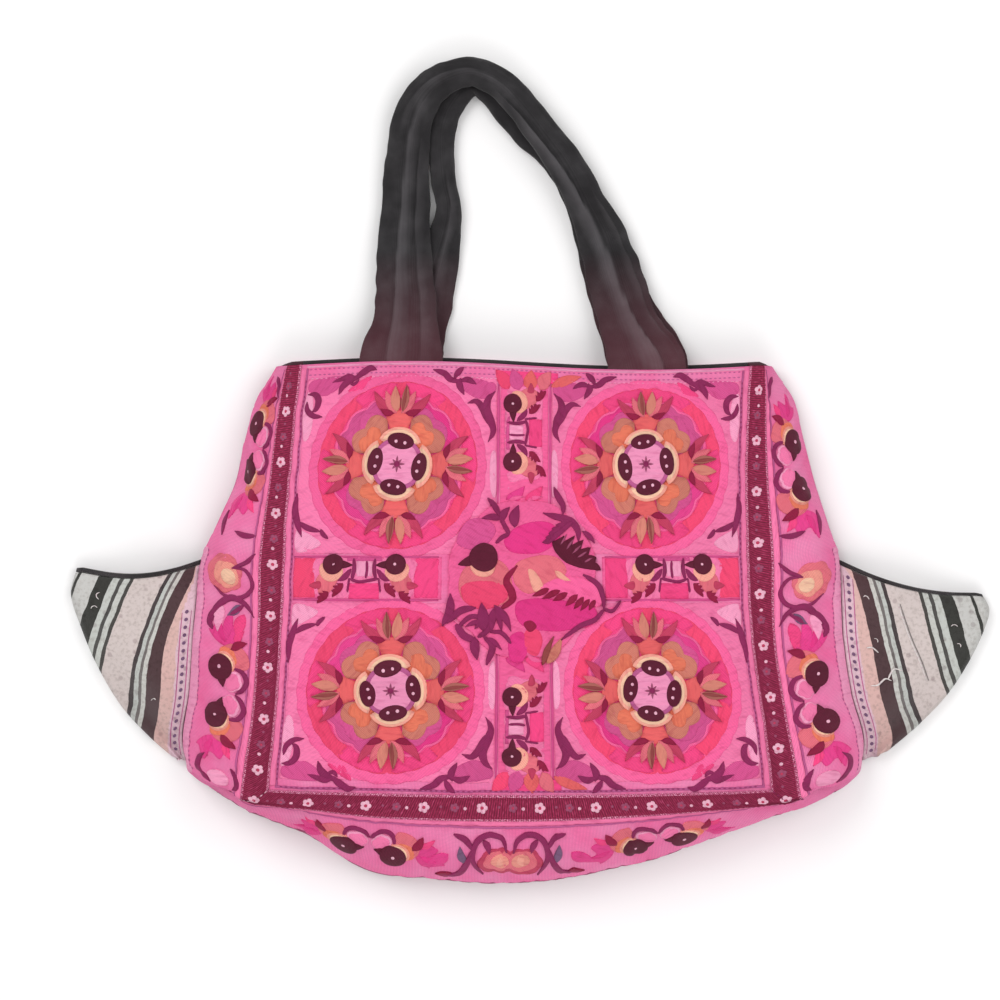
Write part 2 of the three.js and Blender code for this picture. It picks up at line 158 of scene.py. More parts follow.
# Lamps: place, width and power
LAMPS = {
    "key_lamp": ((-1.3, 1.2, 1.9), 1.6, 26),
    "fill_lamp": ((1.5, 0.5, 1.6), 1.8, 13),
    "low_lamp": ((0.2, -1.7, 1.5), 1.5, 11),
}
for name, (place, width, power) in LAMPS.items():
    lamp_data = bpy.data.lights.new(name, "AREA")
    lamp_data.shape = "DISK"
    lamp_data.size = width
    lamp_data.energy = power
    lamp = bpy.data.objects.new(name, lamp_data)
    lamp.location = place
    lamp.rotation_euler = (-Vector(place)).to_track_quat("-Z", "Y").to_euler()
    scene.collection.objects.link(lamp)

world = bpy.data.worlds.new("studio")
world.use_nodes = True
background = world.node_tree.nodes["Background"].inputs
background["Color"].default_value = (1, 1, 1, 1)
background["Strength"].default_value = WORLD_LIGHT
scene.world = world
scene.view_settings.view_transform = "Standard"
print("lamps:", len(LAMPS))

# %% [markdown]
# ## The shape of the panels
# The front and back panels are both squares of cloth. A place on them is given by two numbers: across, from
# -1 at the left seam to 1 at the right seam, and down, from 0 at the mouth to 1 at the bottom seam. Short
# tables hold the sizes that were measured, and a smooth curve through each table gives the values between.
# A cube could be pushed into this shape by hand, but then the ribbons and the embroidery would have no way
# to find their place on it.

# %% Tables of the panels, in millimetres
CENTRE_X = -4.0
RIBBON_ACROSS, RIBBON_DOWN = 0.74, 0.8
SQUARE = {
    "y": (-223, -170, -112, -38, 27, 71),
    "left": (182, 175, 171, 168, 163, 159),
    "right": (175, 167, 159, 156, 157, 161),
    "centre": (67, 75, 73, 62, 45, 30),
    "edge": (50, 58, 57, 49, 36, 25),
}
SIDE_SEAM = {
    "y": (-207, -183, -152, -115, -91, -73, -57, -33, -8, 19, 48, 71),
    "left": (230, 233, 228, 225, 223, 222, 219, 209, 198, 192, 183, 170),
    "right": (230, 231, 222, 216, 215, 215, 214, 207, 199, 192, 184, 170),
    "height": (6.2, 15, 27, 31, 25, 13.5, 8, 6.2, 5.7, 5.7, 5.7, 5.7),
    "turn": (78, 66, 52, 48, 54, 66, 76, 80, 80, 80, 80, 80),
}
BOTTOM_SEAM = {
    "x": (-188, -150, -106, -63, -19, 28, 86, 127, 188),
    "y": (-234, -249, -273, -279.5, -282, -279, -266, -252, -230),
}
CORNER = {"left": 211, "right": 214, "y": -220}
MOUTH_Y, RIBBON_FOOT_Y, SEAM_FOOT_Y = 71, -223, -207
BOTTOM_HEIGHT, BOTTOM_TURN, ROLL_START = 5.7, 80, 8
RIM_WAVE, RIM_WAVE_REACH, BACK_RIM_RISE = 3, 0.2, 3.5
FOOT_BOW, FOOT_BOW_POWER = 3, 4
BACK_LIFT, BACK_LIFT_POWER = 2.8, 6


def lerp(low, high, share):
    return low + (high - low) * share


def limit(values):
    """Values cut to the range from 0 to 1."""
    return np.clip(values, 0, 1)


def unit(vectors):
    """Vectors of length 1 in the same directions."""
    return vectors / np.linalg.norm(vectors, axis=-1, keepdims=True)


def read_column(table, key, column, at):
    """One column of a table, smoothly interpolated at values of its key column."""
    keys, values = np.array(table[key], float), np.array(table[column], float)
    before = np.concatenate([[0], np.arange(len(keys) - 1)])
    after = np.concatenate([np.arange(1, len(keys)), [len(keys) - 1]])
    slope = (values[after] - values[before]) / (keys[after] - keys[before])
    i = np.clip(np.searchsorted(keys, at) - 1, 0, len(keys) - 2)
    span = keys[i + 1] - keys[i]
    u = limit((at - keys[i]) / span)
    lean = u * (1 - u) * span * ((1 - u) * slope[i] - u * slope[i + 1])
    return lerp(values[i], values[i + 1], u * u * (3 - 2 * u)) + lean


def catmull_rom(rows, i, u):
    """Points of a smooth curve, at shares u of the way from row i + 1 to row i + 2."""
    a, b, c, d = (rows[i + k] for k in range(4))
    return b + 0.5 * u * (c - a + u * (2 * a - 5 * b + 4 * c - d + u * (3 * (b - c) + d - a)))


def smooth_path(rows, t):
    """A smooth curve through the rows of a table, at shares t of its length."""
    rows = np.array(rows, float)
    rows = np.vstack([2 * rows[0] - rows[1], rows, 2 * rows[-1] - rows[-2]])
    place = t * (len(rows) - 3)
    i = np.clip(place.astype(int), 0, len(rows) - 4)
    return catmull_rom(rows, i, (place - i)[..., None])


print("mouth between the ribbons:", SQUARE["left"][-1] + SQUARE["right"][-1], "mm")

# %% [markdown]
# From the ribbons outwards the front panel rolls over like the edge of a cushion. A bevel would round it by
# the same amount everywhere, but the real border turns down less where the wings join it. So its plan
# follows the sine of the angle that it has turned, its height follows the cosine, and a table says how far
# it turns.


# %% Surfaces of the panels
def by_side(across, read):
    """The left column where a place is left of the centre line, and else the right one."""
    return np.where(across < 0, read("left"), read("right"))


def roll_over(share, turn):
    start, end = np.radians(ROLL_START), np.radians(turn)
    angle = lerp(start, end, share)
    out = (np.sin(angle) - np.sin(start)) / (np.sin(end) - np.sin(start))
    up = (np.cos(angle) - np.cos(end)) / (np.cos(start) - np.cos(end))
    return out, up


def square_column(column, down):
    y = lerp(MOUTH_Y, RIBBON_FOOT_Y, limit(down / RIBBON_DOWN))
    return read_column(SQUARE, "y", column, y)


def square_point(across, down):
    """A point of the square inside the ribbons, in plan."""
    a = np.clip(across / RIBBON_ACROSS, -1, 1)
    d = limit(down / RIBBON_DOWN)
    half = by_side(across, lambda name: square_column(name, down))
    wave = RIM_WAVE * np.sin(np.pi * a) * np.maximum(0, 1 - d / RIM_WAVE_REACH)
    bow = FOOT_BOW * (1 - a * a) * d**FOOT_BOW_POWER
    return np.stack([CENTRE_X + a * half, lerp(MOUTH_Y, RIBBON_FOOT_Y, d) - wave - bow], -1)


def side_seam(across, down):
    """Plan, height and turn of the nearer side seam."""
    y = lerp(MOUTH_Y, SEAM_FOOT_Y, limit(down / RIBBON_DOWN))
    half = by_side(across, lambda name: read_column(SIDE_SEAM, "y", name, y))
    plan = np.stack([CENTRE_X + np.where(across < 0, -half, half), y], -1)
    return plan, read_column(SIDE_SEAM, "y", "height", y), read_column(SIDE_SEAM, "y", "turn", y)


def bottom_seam(across):
    a = np.clip(across / RIBBON_ACROSS, -1, 1)
    x = lerp(BOTTOM_SEAM["x"][0], BOTTOM_SEAM["x"][-1], (a + 1) / 2)
    return np.stack([CENTRE_X + x, read_column(BOTTOM_SEAM, "x", "y", x)], -1)


def panel_plan(across, down, side_share, bottom_share):
    side, foot = np.where(across < 0, -1.0, 1.0), np.ones_like(across)
    to_side = side_seam(across, down)[0] - square_point(side, down)
    to_bottom = bottom_seam(across) - square_point(across, foot)
    corner_x = CENTRE_X + side * by_side(across, lambda name: CORNER[name] * foot)
    corner = np.stack([corner_x, CORNER["y"] * foot], -1)
    twist = corner - square_point(side, foot) - to_side - to_bottom
    s, b = side_share[..., None], bottom_share[..., None]
    return square_point(across, down) + to_side * s + to_bottom * b + twist * s * b


def side_border(across):
    return np.maximum(0, (np.abs(across) - RIBBON_ACROSS) / (1 - RIBBON_ACROSS))


def bottom_border(down):
    return np.maximum(0, (down - RIBBON_DOWN) / (1 - RIBBON_DOWN))


def front_surface(across, down):
    _, seam_height, turn = side_seam(across, down)
    side_out, side_up = roll_over(side_border(across), turn)
    bottom_out, bottom_up = roll_over(bottom_border(down), BOTTOM_TURN)
    plan = panel_plan(across, down, side_out, bottom_out)
    a = np.clip(across / RIBBON_ACROSS, -1, 1)
    edge = square_column("edge", down)
    crown = square_column("centre", down) - edge
    foot = lerp(seam_height, BOTTOM_HEIGHT, bottom_border(down))
    height = foot + (edge + crown * (1 - a * a) - foot) * side_up * bottom_up
    return np.concatenate([plan, height[..., None]], -1)


def back_surface(across, down):
    side_share, bottom_share = side_border(across), bottom_border(down)
    points = panel_plan(across, down, side_share, bottom_share)
    points[..., 1] += BACK_RIM_RISE * np.maximum(0, 1 - down / RIM_WAVE_REACH) * (1 - side_share)
    height = BACK_LIFT * np.maximum(side_share, bottom_share) ** BACK_LIFT_POWER
    return np.concatenate([points, height[..., None]], -1)


middle_line = np.linspace(0, 1)
crown_height = front_surface(np.zeros_like(middle_line), middle_line)[:, 2].max()
print(f"crown of the front: {crown_height:.0f} mm above the table")

# %% [markdown]
# ## Cloth as a grid
# A sheet of cloth starts as a flat grid whose vertices are then moved onto a surface, and a Solidify
# modifier gives it its thickness. The grid keeps a UV map in millimetres of cloth, so a weave or a stripe
# follows the cloth wherever it bends. Object coordinates would need no map, but a pattern on them would cut
# straight through the folds.

# %% Cloth grids and pieces
PATTERN_HALF, PATTERN_LENGTH = 230.0, 366.0
PATTERN_SIZE = (2 * PATTERN_HALF, PATTERN_LENGTH)


def cloth_grid(columns, rows, place, size):
    """A bmesh grid moved by place(u, v), with u and v from 0 to 1 and a UV map scaled to size."""
    bm = bmesh.new()
    bmesh.ops.create_grid(bm, x_segments=columns, y_segments=rows, size=0.5)
    flat = np.array([vert.co[:2] for vert in bm.verts]) + 0.5
    cloth_map = bm.loops.layers.uv.new("cloth")
    for face in bm.faces:
        for loop in face.loops:
            u, v = flat[loop.vert.index]
            loop[cloth_map].uv = (u * size[0], v * size[1])
    for vert, point in zip(bm.verts, place(flat[:, 0], flat[:, 1]) * MM):
        vert.co = point
    return bm


def make_piece(name, bm, materials, slot, *nodes):
    """A finished piece: it sits at the origin, rides on the bag and stands for the CAD nodes named."""
    mesh = bpy.data.meshes.new(name)
    bm.to_mesh(mesh)
    bm.free()
    for material in materials:
        mesh.materials.append(material)
    mesh.shade_smooth()
    piece = bpy.data.objects.new(name, mesh)
    scene.collection.objects.link(piece)
    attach(piece, "root")
    if nodes:
        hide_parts(*nodes)
    print(f"{name}: {len(mesh.polygons)} faces")
    return piece


def thicken(piece, thickness, inside=0):
    """Gives a sheet its thickness inwards; inside is the number of the lining's material slot."""
    solidify = piece.modifiers.new("thickness", "SOLIDIFY")
    solidify.thickness = thickness * MM
    solidify.offset = -1
    solidify.material_offset = inside


# %% [markdown]
# Padded cloth is tight at its seams and swells between them. It could be sculpted, but then every swell
# would be a guess. Blender's Cloth makes them when the seams are pinned, the cloth is a little larger than
# its frame and a soft pressure pushes from inside. The result is read back into the mesh, and a cap keeps
# any point from wandering far.

# %% Cloth simulation
SETTLE_FRAMES = 18
TINY = 1e-9


def vertex_places(mesh):
    places = np.empty(len(mesh.vertices) * 3, np.float32)
    mesh.vertices.foreach_get("co", places)
    return places.reshape(-1, 3).astype(float)


def settle(piece, sewn, growth, pressure, cap):
    """Lets the cloth of a piece swell between its sewn vertices, by at most cap millimetres."""
    start = vertex_places(piece.data)
    group = piece.vertex_groups.new(name="sewn")
    group.add([int(i) for i in np.flatnonzero(sewn)], 1.0, "REPLACE")
    modifier = piece.modifiers.new("cloth", "CLOTH")
    cloth = modifier.settings
    cloth.vertex_group_mass = group.name
    cloth.mass = 0.05
    cloth.quality = 4
    cloth.tension_stiffness = cloth.compression_stiffness = 12
    cloth.shear_stiffness = 6
    cloth.bending_stiffness = 0.4
    cloth.shrink_min = cloth.shrink_max = -growth
    cloth.use_pressure = True
    cloth.uniform_pressure_force = pressure
    cloth.effector_weights.gravity = 0
    modifier.point_cache.frame_end = SETTLE_FRAMES
    for step in range(1, SETTLE_FRAMES + 1):
        scene.frame_set(step)
    swollen = vertex_places(piece.evaluated_get(bpy.context.evaluated_depsgraph_get()).data)
    piece.modifiers.remove(modifier)
    piece.vertex_groups.remove(group)
    scene.frame_set(1)
    move = swollen - start
    length = np.linalg.norm(move, axis=1, keepdims=True) + TINY
    move *= cap * MM * np.tanh(length / (cap * MM)) / length
    piece.data.vertices.foreach_set("co", (start + move).astype(np.float32).ravel())
    piece.data.update()
    print(f"{piece.name} swelled by up to {np.linalg.norm(move, axis=1).max() / MM:.1f} mm")


# %% [markdown]
# ## Front panel
# The front is pink cotton over thin wadding. It is sewn down along its edges, under each ribbon and along
# the lines between the embroidered squares. Its outer face shows a close weave; the lining inside is plain
# dark cotton. The threads are far too many to model, so two crossed Wave textures on the UV map draw them.
# Their height goes into a Bump node, and it also darkens the gaps between the threads as painted shade.

# %% Pink cotton and lining
WAVE_LENGTH = math.pi / 10  # a Wave texture of scale 1 repeats after this much of its coordinate


def map_places(tree, name="cloth"):
    """Places in one of the UV maps of a piece."""
    return add_node(tree, "ShaderNodeUVMap", uv_map=name)


def maths(tree, operation, *values):
    return add_node(tree, "ShaderNodeMath", enumerate(values), operation=operation)


def ribs(tree, places, pitch, direction, distortion, detail, detail_scale=1.0):
    """Height of ribs that repeat after a pitch in millimetres of cloth."""
    inputs = {"Vector": places, "Scale": WAVE_LENGTH / pitch, "Distortion": distortion}
    inputs |= {"Detail": detail, "Detail Scale": detail_scale}
    return add_node(tree, "ShaderNodeTexWave", inputs, "Fac", bands_direction=direction)


def weave(tree, pitch):
    """Height of a plain weave: crossed ribs along and across the cloth."""
    return maths(tree, "MULTIPLY", *[ribs(tree, map_places(tree), pitch, axis, 0.6, 1.0) for axis in "XY"])


def mix_colours(tree, first, second, blend="MULTIPLY", share=1.0):
    """One colour blended into another; the inputs of a Mix node are found by their numbers."""
    inputs = {0: share, 6: first, 7: second}
    return add_node(tree, "ShaderNodeMix", inputs, 2, data_type="RGBA", blend_type=blend)


def finish_cloth(tree, shader, colour, height, relief):
    """Puts a cloth's colour and its fine relief, in millimetres, on the shader."""
    normal = add_node(tree, "ShaderNodeBump", {"Height": height, "Distance": relief * MM})
    tree.links.new(colour, shader.inputs["Base Color"])
    tree.links.new(normal, shader.inputs["Normal"])


def cotton(name, colours, pitch, relief, roughness=0.85, sheen=0.25, blotch=35.0):
    """Woven cotton: the colours mottle over the cloth, and painted shade darkens the gaps between threads.
    """
    material, tree, shader = new_material(name, roughness, sheen)
    mottle = blotches(tree, object_places(tree), blotch, 4.0)
    stops = [(0.3 + 0.4 * i / (len(colours) - 1), colour) for i, colour in enumerate(colours)]
    height = weave(tree, pitch)
    # Painted shade: the gaps between the threads are darkened.
    gap_shade = ramp(tree, height, (0.0, "#d8d8d8"), (0.6, "#ffffff"))
    finish_cloth(tree, shader, mix_colours(tree, ramp(tree, mottle, *stops), gap_shade), height, relief)
    return material


pink_cotton = cotton("pink_cotton", ("#ff72ac", "#ff82b8", "#ff92c2"), 0.9, 0.25, sheen=0.0)
lining_cotton = cotton("lining_cotton", ("#4a2530", "#5a2d3a"), 0.8, 0.2)
print("cottons:", pink_cotton.name, "and", lining_cotton.name)

# %% [markdown]
# The grid of the front is fine enough for soft swells of a few centimetres. A finer one would also show
# small wrinkles, but the embroidery covers those, and the simulation would take much longer. Everything
# that is sewn on later asks this grid where the cloth went, so the swelling happens first.

# %% Front panel
FRONT_COLUMNS, FRONT_ROWS = 168, 132
FRONT_WALL = 3.0
RIBBON_P, RIBBON_Q = PATTERN_HALF * RIBBON_ACROSS, PATTERN_LENGTH * RIBBON_DOWN
RIBBON_HALF = 8.5
DIVIDER_P, SQUARE_P = 18.0, 157.0
BAND_TOP, BAND_FOOT = 128.0, 158.0
RIM_STITCH, SEAM_REACH = 9.0, 2.0
EDGE_SHARE = 0.001
ON_FRONT = "embroidered_cloth"


def front_place(u, v):
    return front_surface(2 * u - 1, 1 - v)


front_cloth = cloth_grid(FRONT_COLUMNS, FRONT_ROWS, front_place, PATTERN_SIZE)
front = make_piece("front_panel_quilt", front_cloth, (pink_cotton, lining_cotton), ON_FRONT, "front_panel")


def near(values, line, reach=SEAM_REACH):
    return np.abs(values - line) < reach


grid_u = np.tile(np.linspace(0, 1, FRONT_COLUMNS + 1), FRONT_ROWS + 1)
grid_v = np.repeat(np.linspace(0, 1, FRONT_ROWS + 1), FRONT_COLUMNS + 1)
off_centre = np.abs(2 * grid_u - 1) * PATTERN_HALF
grid_q = (1 - grid_v) * PATTERN_LENGTH
inner = (off_centre < SQUARE_P) & (grid_q < RIBBON_Q)
sewn = (np.abs(grid_u - 0.5) > 0.5 - EDGE_SHARE) | (grid_v < EDGE_SHARE) | (grid_q < RIM_STITCH)
sewn |= near(off_centre, RIBBON_P, RIBBON_HALF) & (grid_q < RIBBON_Q + RIBBON_HALF)
sewn |= near(grid_q, RIBBON_Q, RIBBON_HALF) & (off_centre < RIBBON_P + RIBBON_HALF)
sewn |= near(off_centre, DIVIDER_P) & inner
sewn |= (near(grid_q, BAND_TOP) | near(grid_q, BAND_FOOT)) & inner
settle(front, sewn, growth=0.02, pressure=3.0, cap=4.5)
thicken(front, FRONT_WALL, inside=1)

# %% [markdown]
# To sew something onto the front, its flat places are looked up in the swollen grid: a place is found
# between the four nearest vertices, and lifted along the cloth's own normal. A Shrinkwrap modifier could do
# this too, but it takes the nearest point in space, which slips sideways where the cloth is steep.

# %% Draping onto the front
front_points = vertex_places(front.data).reshape(FRONT_ROWS + 1, FRONT_COLUMNS + 1, 3)
front_normals = np.array([vert.normal for vert in front.data.vertices]).reshape(front_points.shape)
print(f"crown after swelling: {front_points[..., 2].max() / MM:.1f} mm above the table")


def drape(flat):
    """Places of (p, q, lift) in millimetres of pattern, laid on the swollen front, in metres."""
    column = limit((flat[:, 0] / PATTERN_HALF + 1) / 2) * FRONT_COLUMNS
    row = limit(1 - flat[:, 1] / PATTERN_LENGTH) * FRONT_ROWS
    i = np.clip(column.astype(int), 0, FRONT_COLUMNS - 1)
    j = np.clip(row.astype(int), 0, FRONT_ROWS - 1)
    a, b = (column - i)[:, None], (row - j)[:, None]

    def between(grid):
        low = lerp(grid[j, i], grid[j, i + 1], a)
        high = lerp(grid[j + 1, i], grid[j + 1, i + 1], a)
        return lerp(low, high, b)

    return between(front_points) + unit(between(front_normals)) * flat[:, 2:] * MM


# %% [markdown]
# ## Back panel and mouth facing
# The back is plain pink cotton, flat on the table and lifted a little at its seams. It could be simulated
# as the front is, but the bag's weight presses its quilting nearly flat, so two sine waves are enough. A
# strip of dark cotton faces its inside at the mouth; it is the dark edge that shows behind the rim.

# %% Back panel
BACK_WALL, BACK_COLUMNS, BACK_ROWS = 2.4, 110, 90
QUILT_PITCH, QUILT_DIP = 45.0, 0.9
FACING_WALL, FACING_COLUMNS, FACING_ROWS = 1.2, 80, 12
FACING_DOWN, FACING_MARGIN, FACING_GAP = 0.14, 0.035, 0.4
FACING_LENGTH, FACING_WIDTH = 0.31, 0.0545

back_cotton = cotton("back_cotton", ("#d85f93", "#e371a2", "#eb84b0"), 1.0, 0.25)
dark_cotton = cotton("dark_cotton", ("#262123", "#332c2f", "#3d3538"), 0.8, 0.2)


def back_place(u, v):
    across, down = 2 * u - 1, v
    points = back_surface(across, down)
    rows = np.sin(np.pi * points[:, 0] / QUILT_PITCH) * np.sin(np.pi * points[:, 1] / QUILT_PITCH)
    points[:, 2] += QUILT_DIP * rows**2 * (1 - np.maximum(side_border(across), bottom_border(down)))
    return points


back_cloth = cloth_grid(BACK_COLUMNS, BACK_ROWS, back_place, PATTERN_SIZE)
back = make_piece("back_panel_quilt", back_cloth, (back_cotton, lining_cotton), "back_cloth", "back_panel")
thicken(back, BACK_WALL, inside=1)


def facing_place(u, v):
    points = back_surface((2 * u - 1) * (RIBBON_ACROSS - FACING_MARGIN), (1 - v) * FACING_DOWN)
    points[:, 2] += BACK_WALL + FACING_GAP + FACING_WALL
    return points


facing_size = (FACING_LENGTH / MM, FACING_WIDTH / MM)
facing_cloth = cloth_grid(FACING_COLUMNS, FACING_ROWS, facing_place, facing_size)
facing = make_piece("mouth_facing_cloth", facing_cloth, (dark_cotton,), "dark_binding", "mouth_facing")
thicken(facing, FACING_WALL)

# %% [markdown]
# ## Gussets
# Each side of the bag has a gusset that folds out flat like a wing. It is striped batik cloth: from the
# seam outwards a pale tape with dots, beige, dark brown, thin stripes, a wide pale field, more thin stripes
# and a black stripe. The stripes run slanted near the hem and along the seam further down. A wing could be
# two flat leaves that meet at an edge, but real cloth turns round a small radius there. So one surface runs
# from the front seam over the fold to the back seam.

# %% Surface of a gusset
WING_TOP_Y, WING_FOOT_Y = -61, -199
WING_ALONG = (0, 0.14, 0.32, 0.5, 0.68, 0.85, 1)
WING_FOLD = {
    -1: {
        "along": WING_ALONG,
        "x": (-311, -315, -308, -297, -281, -262, -246),
        "y": (-67, -85, -108, -134, -161, -182, -196),
    },
    1: {
        "along": WING_ALONG,
        "x": (310, 315, 310, 300, 286, 266, 246),
        "y": (-85, -96, -113, -133, -154, -175, -192),
    },
}
FOLD_RADIUS, UPPER_LEAF, LOWER_LEAF, LEAF_FALL_POWER = 4, 0.43, 0.57, 1.4
HEM_SAG, HEM_GAPE, HEM_GAPE_POWER = 7, 9, 3
CRUMPLE_HEIGHT, CRUMPLE_ALONG, CRUMPLE_OUT = 2.5, 1.5, 0.8
SEAM_GAP = 0.8


def gusset_surface(side, along, around):
    """Points of a gusset from its front seam over the wing's fold to its back seam, and the cloth's
    distance from the seam."""
    y = lerp(WING_TOP_Y, WING_FOOT_Y, along)
    down = RIBBON_DOWN * (MOUTH_Y - y) / (MOUTH_Y - SEAM_FOOT_Y)
    seam, seam_height, _ = side_seam(np.full_like(along, side), down)
    fold = np.stack([read_column(WING_FOLD[side], "along", axis, along) for axis in "xy"], -1)
    reach = np.linalg.norm(fold - seam, axis=-1)
    upper = around < 0.5
    leaf = np.minimum(1, np.where(upper, around / UPPER_LEAF, (1 - around) / (1 - LOWER_LEAF)))
    bend = limit((around - UPPER_LEAF) / (LOWER_LEAF - UPPER_LEAF)) * np.pi
    distance = lerp(SEAM_GAP, reach - FOLD_RADIUS, leaf) + FOLD_RADIUS * np.sin(bend)
    middle = np.sin(np.pi * leaf)
    plan = lerp(seam, fold, (distance / reach)[..., None])
    plan[..., 1] -= HEM_SAG * middle * (1 - along)
    fall = (seam_height - 2 * FOLD_RADIUS) * (1 - leaf) ** LEAF_FALL_POWER
    gape = HEM_GAPE * middle * (1 - along) ** HEM_GAPE_POWER
    crumple = CRUMPLE_HEIGHT * middle * np.sin(2 * np.pi * (CRUMPLE_ALONG * along + CRUMPLE_OUT * leaf))
    lift = BACK_LIFT * (1 - leaf) ** BACK_LIFT_POWER
    height = FOLD_RADIUS * (1 + np.cos(bend)) + np.where(upper, fall + gape + crumple, lift)
    return np.concatenate([plan, height[..., None]], -1), distance


print("wing tips at x:", min(WING_FOLD[-1]["x"]), "and", max(WING_FOLD[1]["x"]), "mm")

# %% [markdown]
# The stripe map is written as a second UV map: its first number says which stripe a place belongs to, and
# its second how far along the wing it lies. One colour ramp on this map draws all the stripes, so they bend
# with the fold. Each stripe could be a strip with its own material, but dyed cloth has no joins, and a
# little noise added to the map makes the edges waver as dye does.

# %% Batik cloth
TAPE_WIDTH = 11.0
TAPE_FULL, TAPE_LEAST = {-1: 0.28, 1: 0.08}, 0.3
STRIPE_REACH, STRIPE_WANDER = 120.0, 0.018
STRIPE_SHIFT = {-1: 23.0, 1: 13.0}
STRIPE_SHIFT_END, STRIPE_SHIFT_POWER = (0.45, 0.8), 1.5
STRIPE_SHIFT_FROM, STRIPE_SHIFT_RUN = 20, 50
WING_LENGTH = WING_TOP_Y - WING_FOOT_Y
# Where each stripe starts, in millimetres from the seam, and its colour
STRIPES = (
    (0, "#f3cddb"),
    (11.5, "#eec4be"),
    (20.5, "#553b3f"),
    (31, "#dbdad5"),
    (34.5, "#7d7675"),
    (36.5, "#cfd2ce"),
    (40, "#4c4244"),
    (43, "#e4d6d3"),
    (67, "#4c4946"),
    (70, "#d6d8d3"),
    (74, "#545250"),
    (77, "#d4d7d2"),
    (82, "#3a3a36"),
    (92, "#d8d7d4"),
    (104, "#3a3a36"),
    (106.5, "#d8d7d4"),
)


def batik_cloth():
    material, tree, shader = new_material("batik_cloth", 0.9, 0.2)
    places = object_places(tree)
    distance = add_node(tree, "ShaderNodeSeparateXYZ", {"Vector": map_places(tree, "stripes")}, "X")
    wander = maths(tree, "MULTIPLY", blotches(tree, places, 110.0, 6.0), STRIPE_WANDER)
    stops = [(start / STRIPE_REACH + STRIPE_WANDER / 2, tone) for start, tone in STRIPES]
    colour = ramp(tree, maths(tree, "ADD", distance, wander), *stops, interpolation="CONSTANT")
    fade = blotches(tree, places, 420.0, 4.0)
    # Random blotches where the dye has faded.
    wear_and_highlight = ramp(tree, fade, (0.3, "#e2dfdd"), (0.5, "#fcfbfa"), (0.7, "#ffffff"))
    colour = mix_colours(tree, colour, wear_and_highlight)
    cells = {"Vector": places, "Scale": 110.0, "Randomness": 0.4}
    spots = add_node(tree, "ShaderNodeTexVoronoi", cells, "Distance")
    dots = ramp(tree, spots, (0.14, "#bcaeb2"), (0.24, "#ffffff"))
    colour = mix_colours(tree, colour, dots, share=0.5)
    height = weave(tree, 0.8)
    # Painted shade: the gaps between the threads are darkened.
    gap_shade = ramp(tree, height, (0.0, "#e6e6e6"), (0.6, "#ffffff"))
    finish_cloth(tree, shader, mix_colours(tree, colour, gap_shade), height, 0.25)
    return material


batik = batik_cloth()
print(f"{batik.name}: {len(STRIPES)} stripes")

# %% [markdown]
# Both wings come from the same function. The left one runs the other way round, so that its faces also
# point outwards. A Mirror modifier would be shorter, but the two wings of the real bag lie differently. The
# dark binding along the hem is the first few millimetres of the same surface, so it fits the wing.

# %% Gussets and hem bindings
GUSSET_WALL, BINDING_WALL, BINDING_WIDTH = 2.0, 2.2, 2.8
GUSSET_ROWS, BINDING_ROWS, CELLS_AROUND = 60, 4, 110
HEM = BINDING_WIDTH / WING_LENGTH
HEM_END = HEM + SEAM_GAP / WING_LENGTH
WRINKLE_HEIGHT, WRINKLE_LENGTH = 1.6, 34.0
WRINKLE_RISE, WRINKLE_FALL = 6, 5


def wrinkled(points, around, along):
    """Small soft wrinkles on the upper leaf, none at its seam, its fold, its hem and its foot."""
    leaf = limit(around / UPPER_LEAF)
    room = np.sin(np.pi * leaf) * limit(along * WRINKLE_RISE) * limit((1 - along) * WRINKLE_FALL)
    heights = [noise.noise(Vector(point) / WRINKLE_LENGTH) for point in points]
    points[:, 2] += WRINKLE_HEIGHT * np.array(heights) * room
    return points


def stripe_shift(side, along, distance):
    """How far the slanted stripes are moved towards the seam; less and less down the wing."""
    end = lerp(*STRIPE_SHIFT_END, limit((distance - STRIPE_SHIFT_FROM) / STRIPE_SHIFT_RUN))
    return STRIPE_SHIFT[side] * np.maximum(0, 1 - along / end) ** STRIPE_SHIFT_POWER


def gusset_bmesh(side, start, end, rows):
    """The cloth of a wing between two shares of its length, with its stripe map."""
    size = (WING_LENGTH, 2 * STRIPE_REACH)

    def down_wing(u):
        return lerp(start, end, 1 - u if side < 0 else u)

    def place(u, v):
        return wrinkled(gusset_surface(side, down_wing(u), v)[0], v, down_wing(u))

    bm = cloth_grid(rows, CELLS_AROUND, place, size)
    cloth_map, stripe_map = bm.loops.layers.uv["cloth"], bm.loops.layers.uv.new("stripes")
    loops = [loop for face in bm.faces for loop in face.loops]
    share = np.array([loop[cloth_map].uv for loop in loops]) / size
    along = down_wing(share[:, 0])
    _, distance = gusset_surface(side, along, share[:, 1])
    tape = TAPE_WIDTH * np.clip(along / TAPE_FULL[side], TAPE_LEAST, 1)
    slanted = distance + stripe_shift(side, along, distance)
    stripe = np.where(distance < tape, distance, np.maximum(slanted, TAPE_WIDTH + 1))
    for loop, across_stripes, down in zip(loops, stripe / STRIPE_REACH, along):
        loop[stripe_map].uv = (across_stripes, down)
    return bm


SIDES = {-1: "left", 1: "right"}
for side, name in SIDES.items():
    cloth = gusset_bmesh(side, HEM_END, 1, GUSSET_ROWS)
    gusset = make_piece(f"gusset_{name}_cloth", cloth, (batik,), "batik_cloth", f"gusset_{name}")
    node = f"hem_binding_{name}"
    cloth = gusset_bmesh(side, 0, HEM, BINDING_ROWS)
    binding = make_piece(f"{node}_cloth", cloth, (dark_cotton,), "dark_binding", node)
    thicken(gusset, GUSSET_WALL)
    thicken(binding, BINDING_WALL)

# %% [markdown]
# ## Handles
# The two handles are soft straps of black cotton, folded lengthwise and gathered where the hand holds them.
# A curve with a bevel would give them one section all along, but a real strap is thin where it is wide. So
# a strap is a grid rolled into a tube: one direction runs round the strap and the other along it. A table
# holds the route of each strap, its height above the table top and its width.

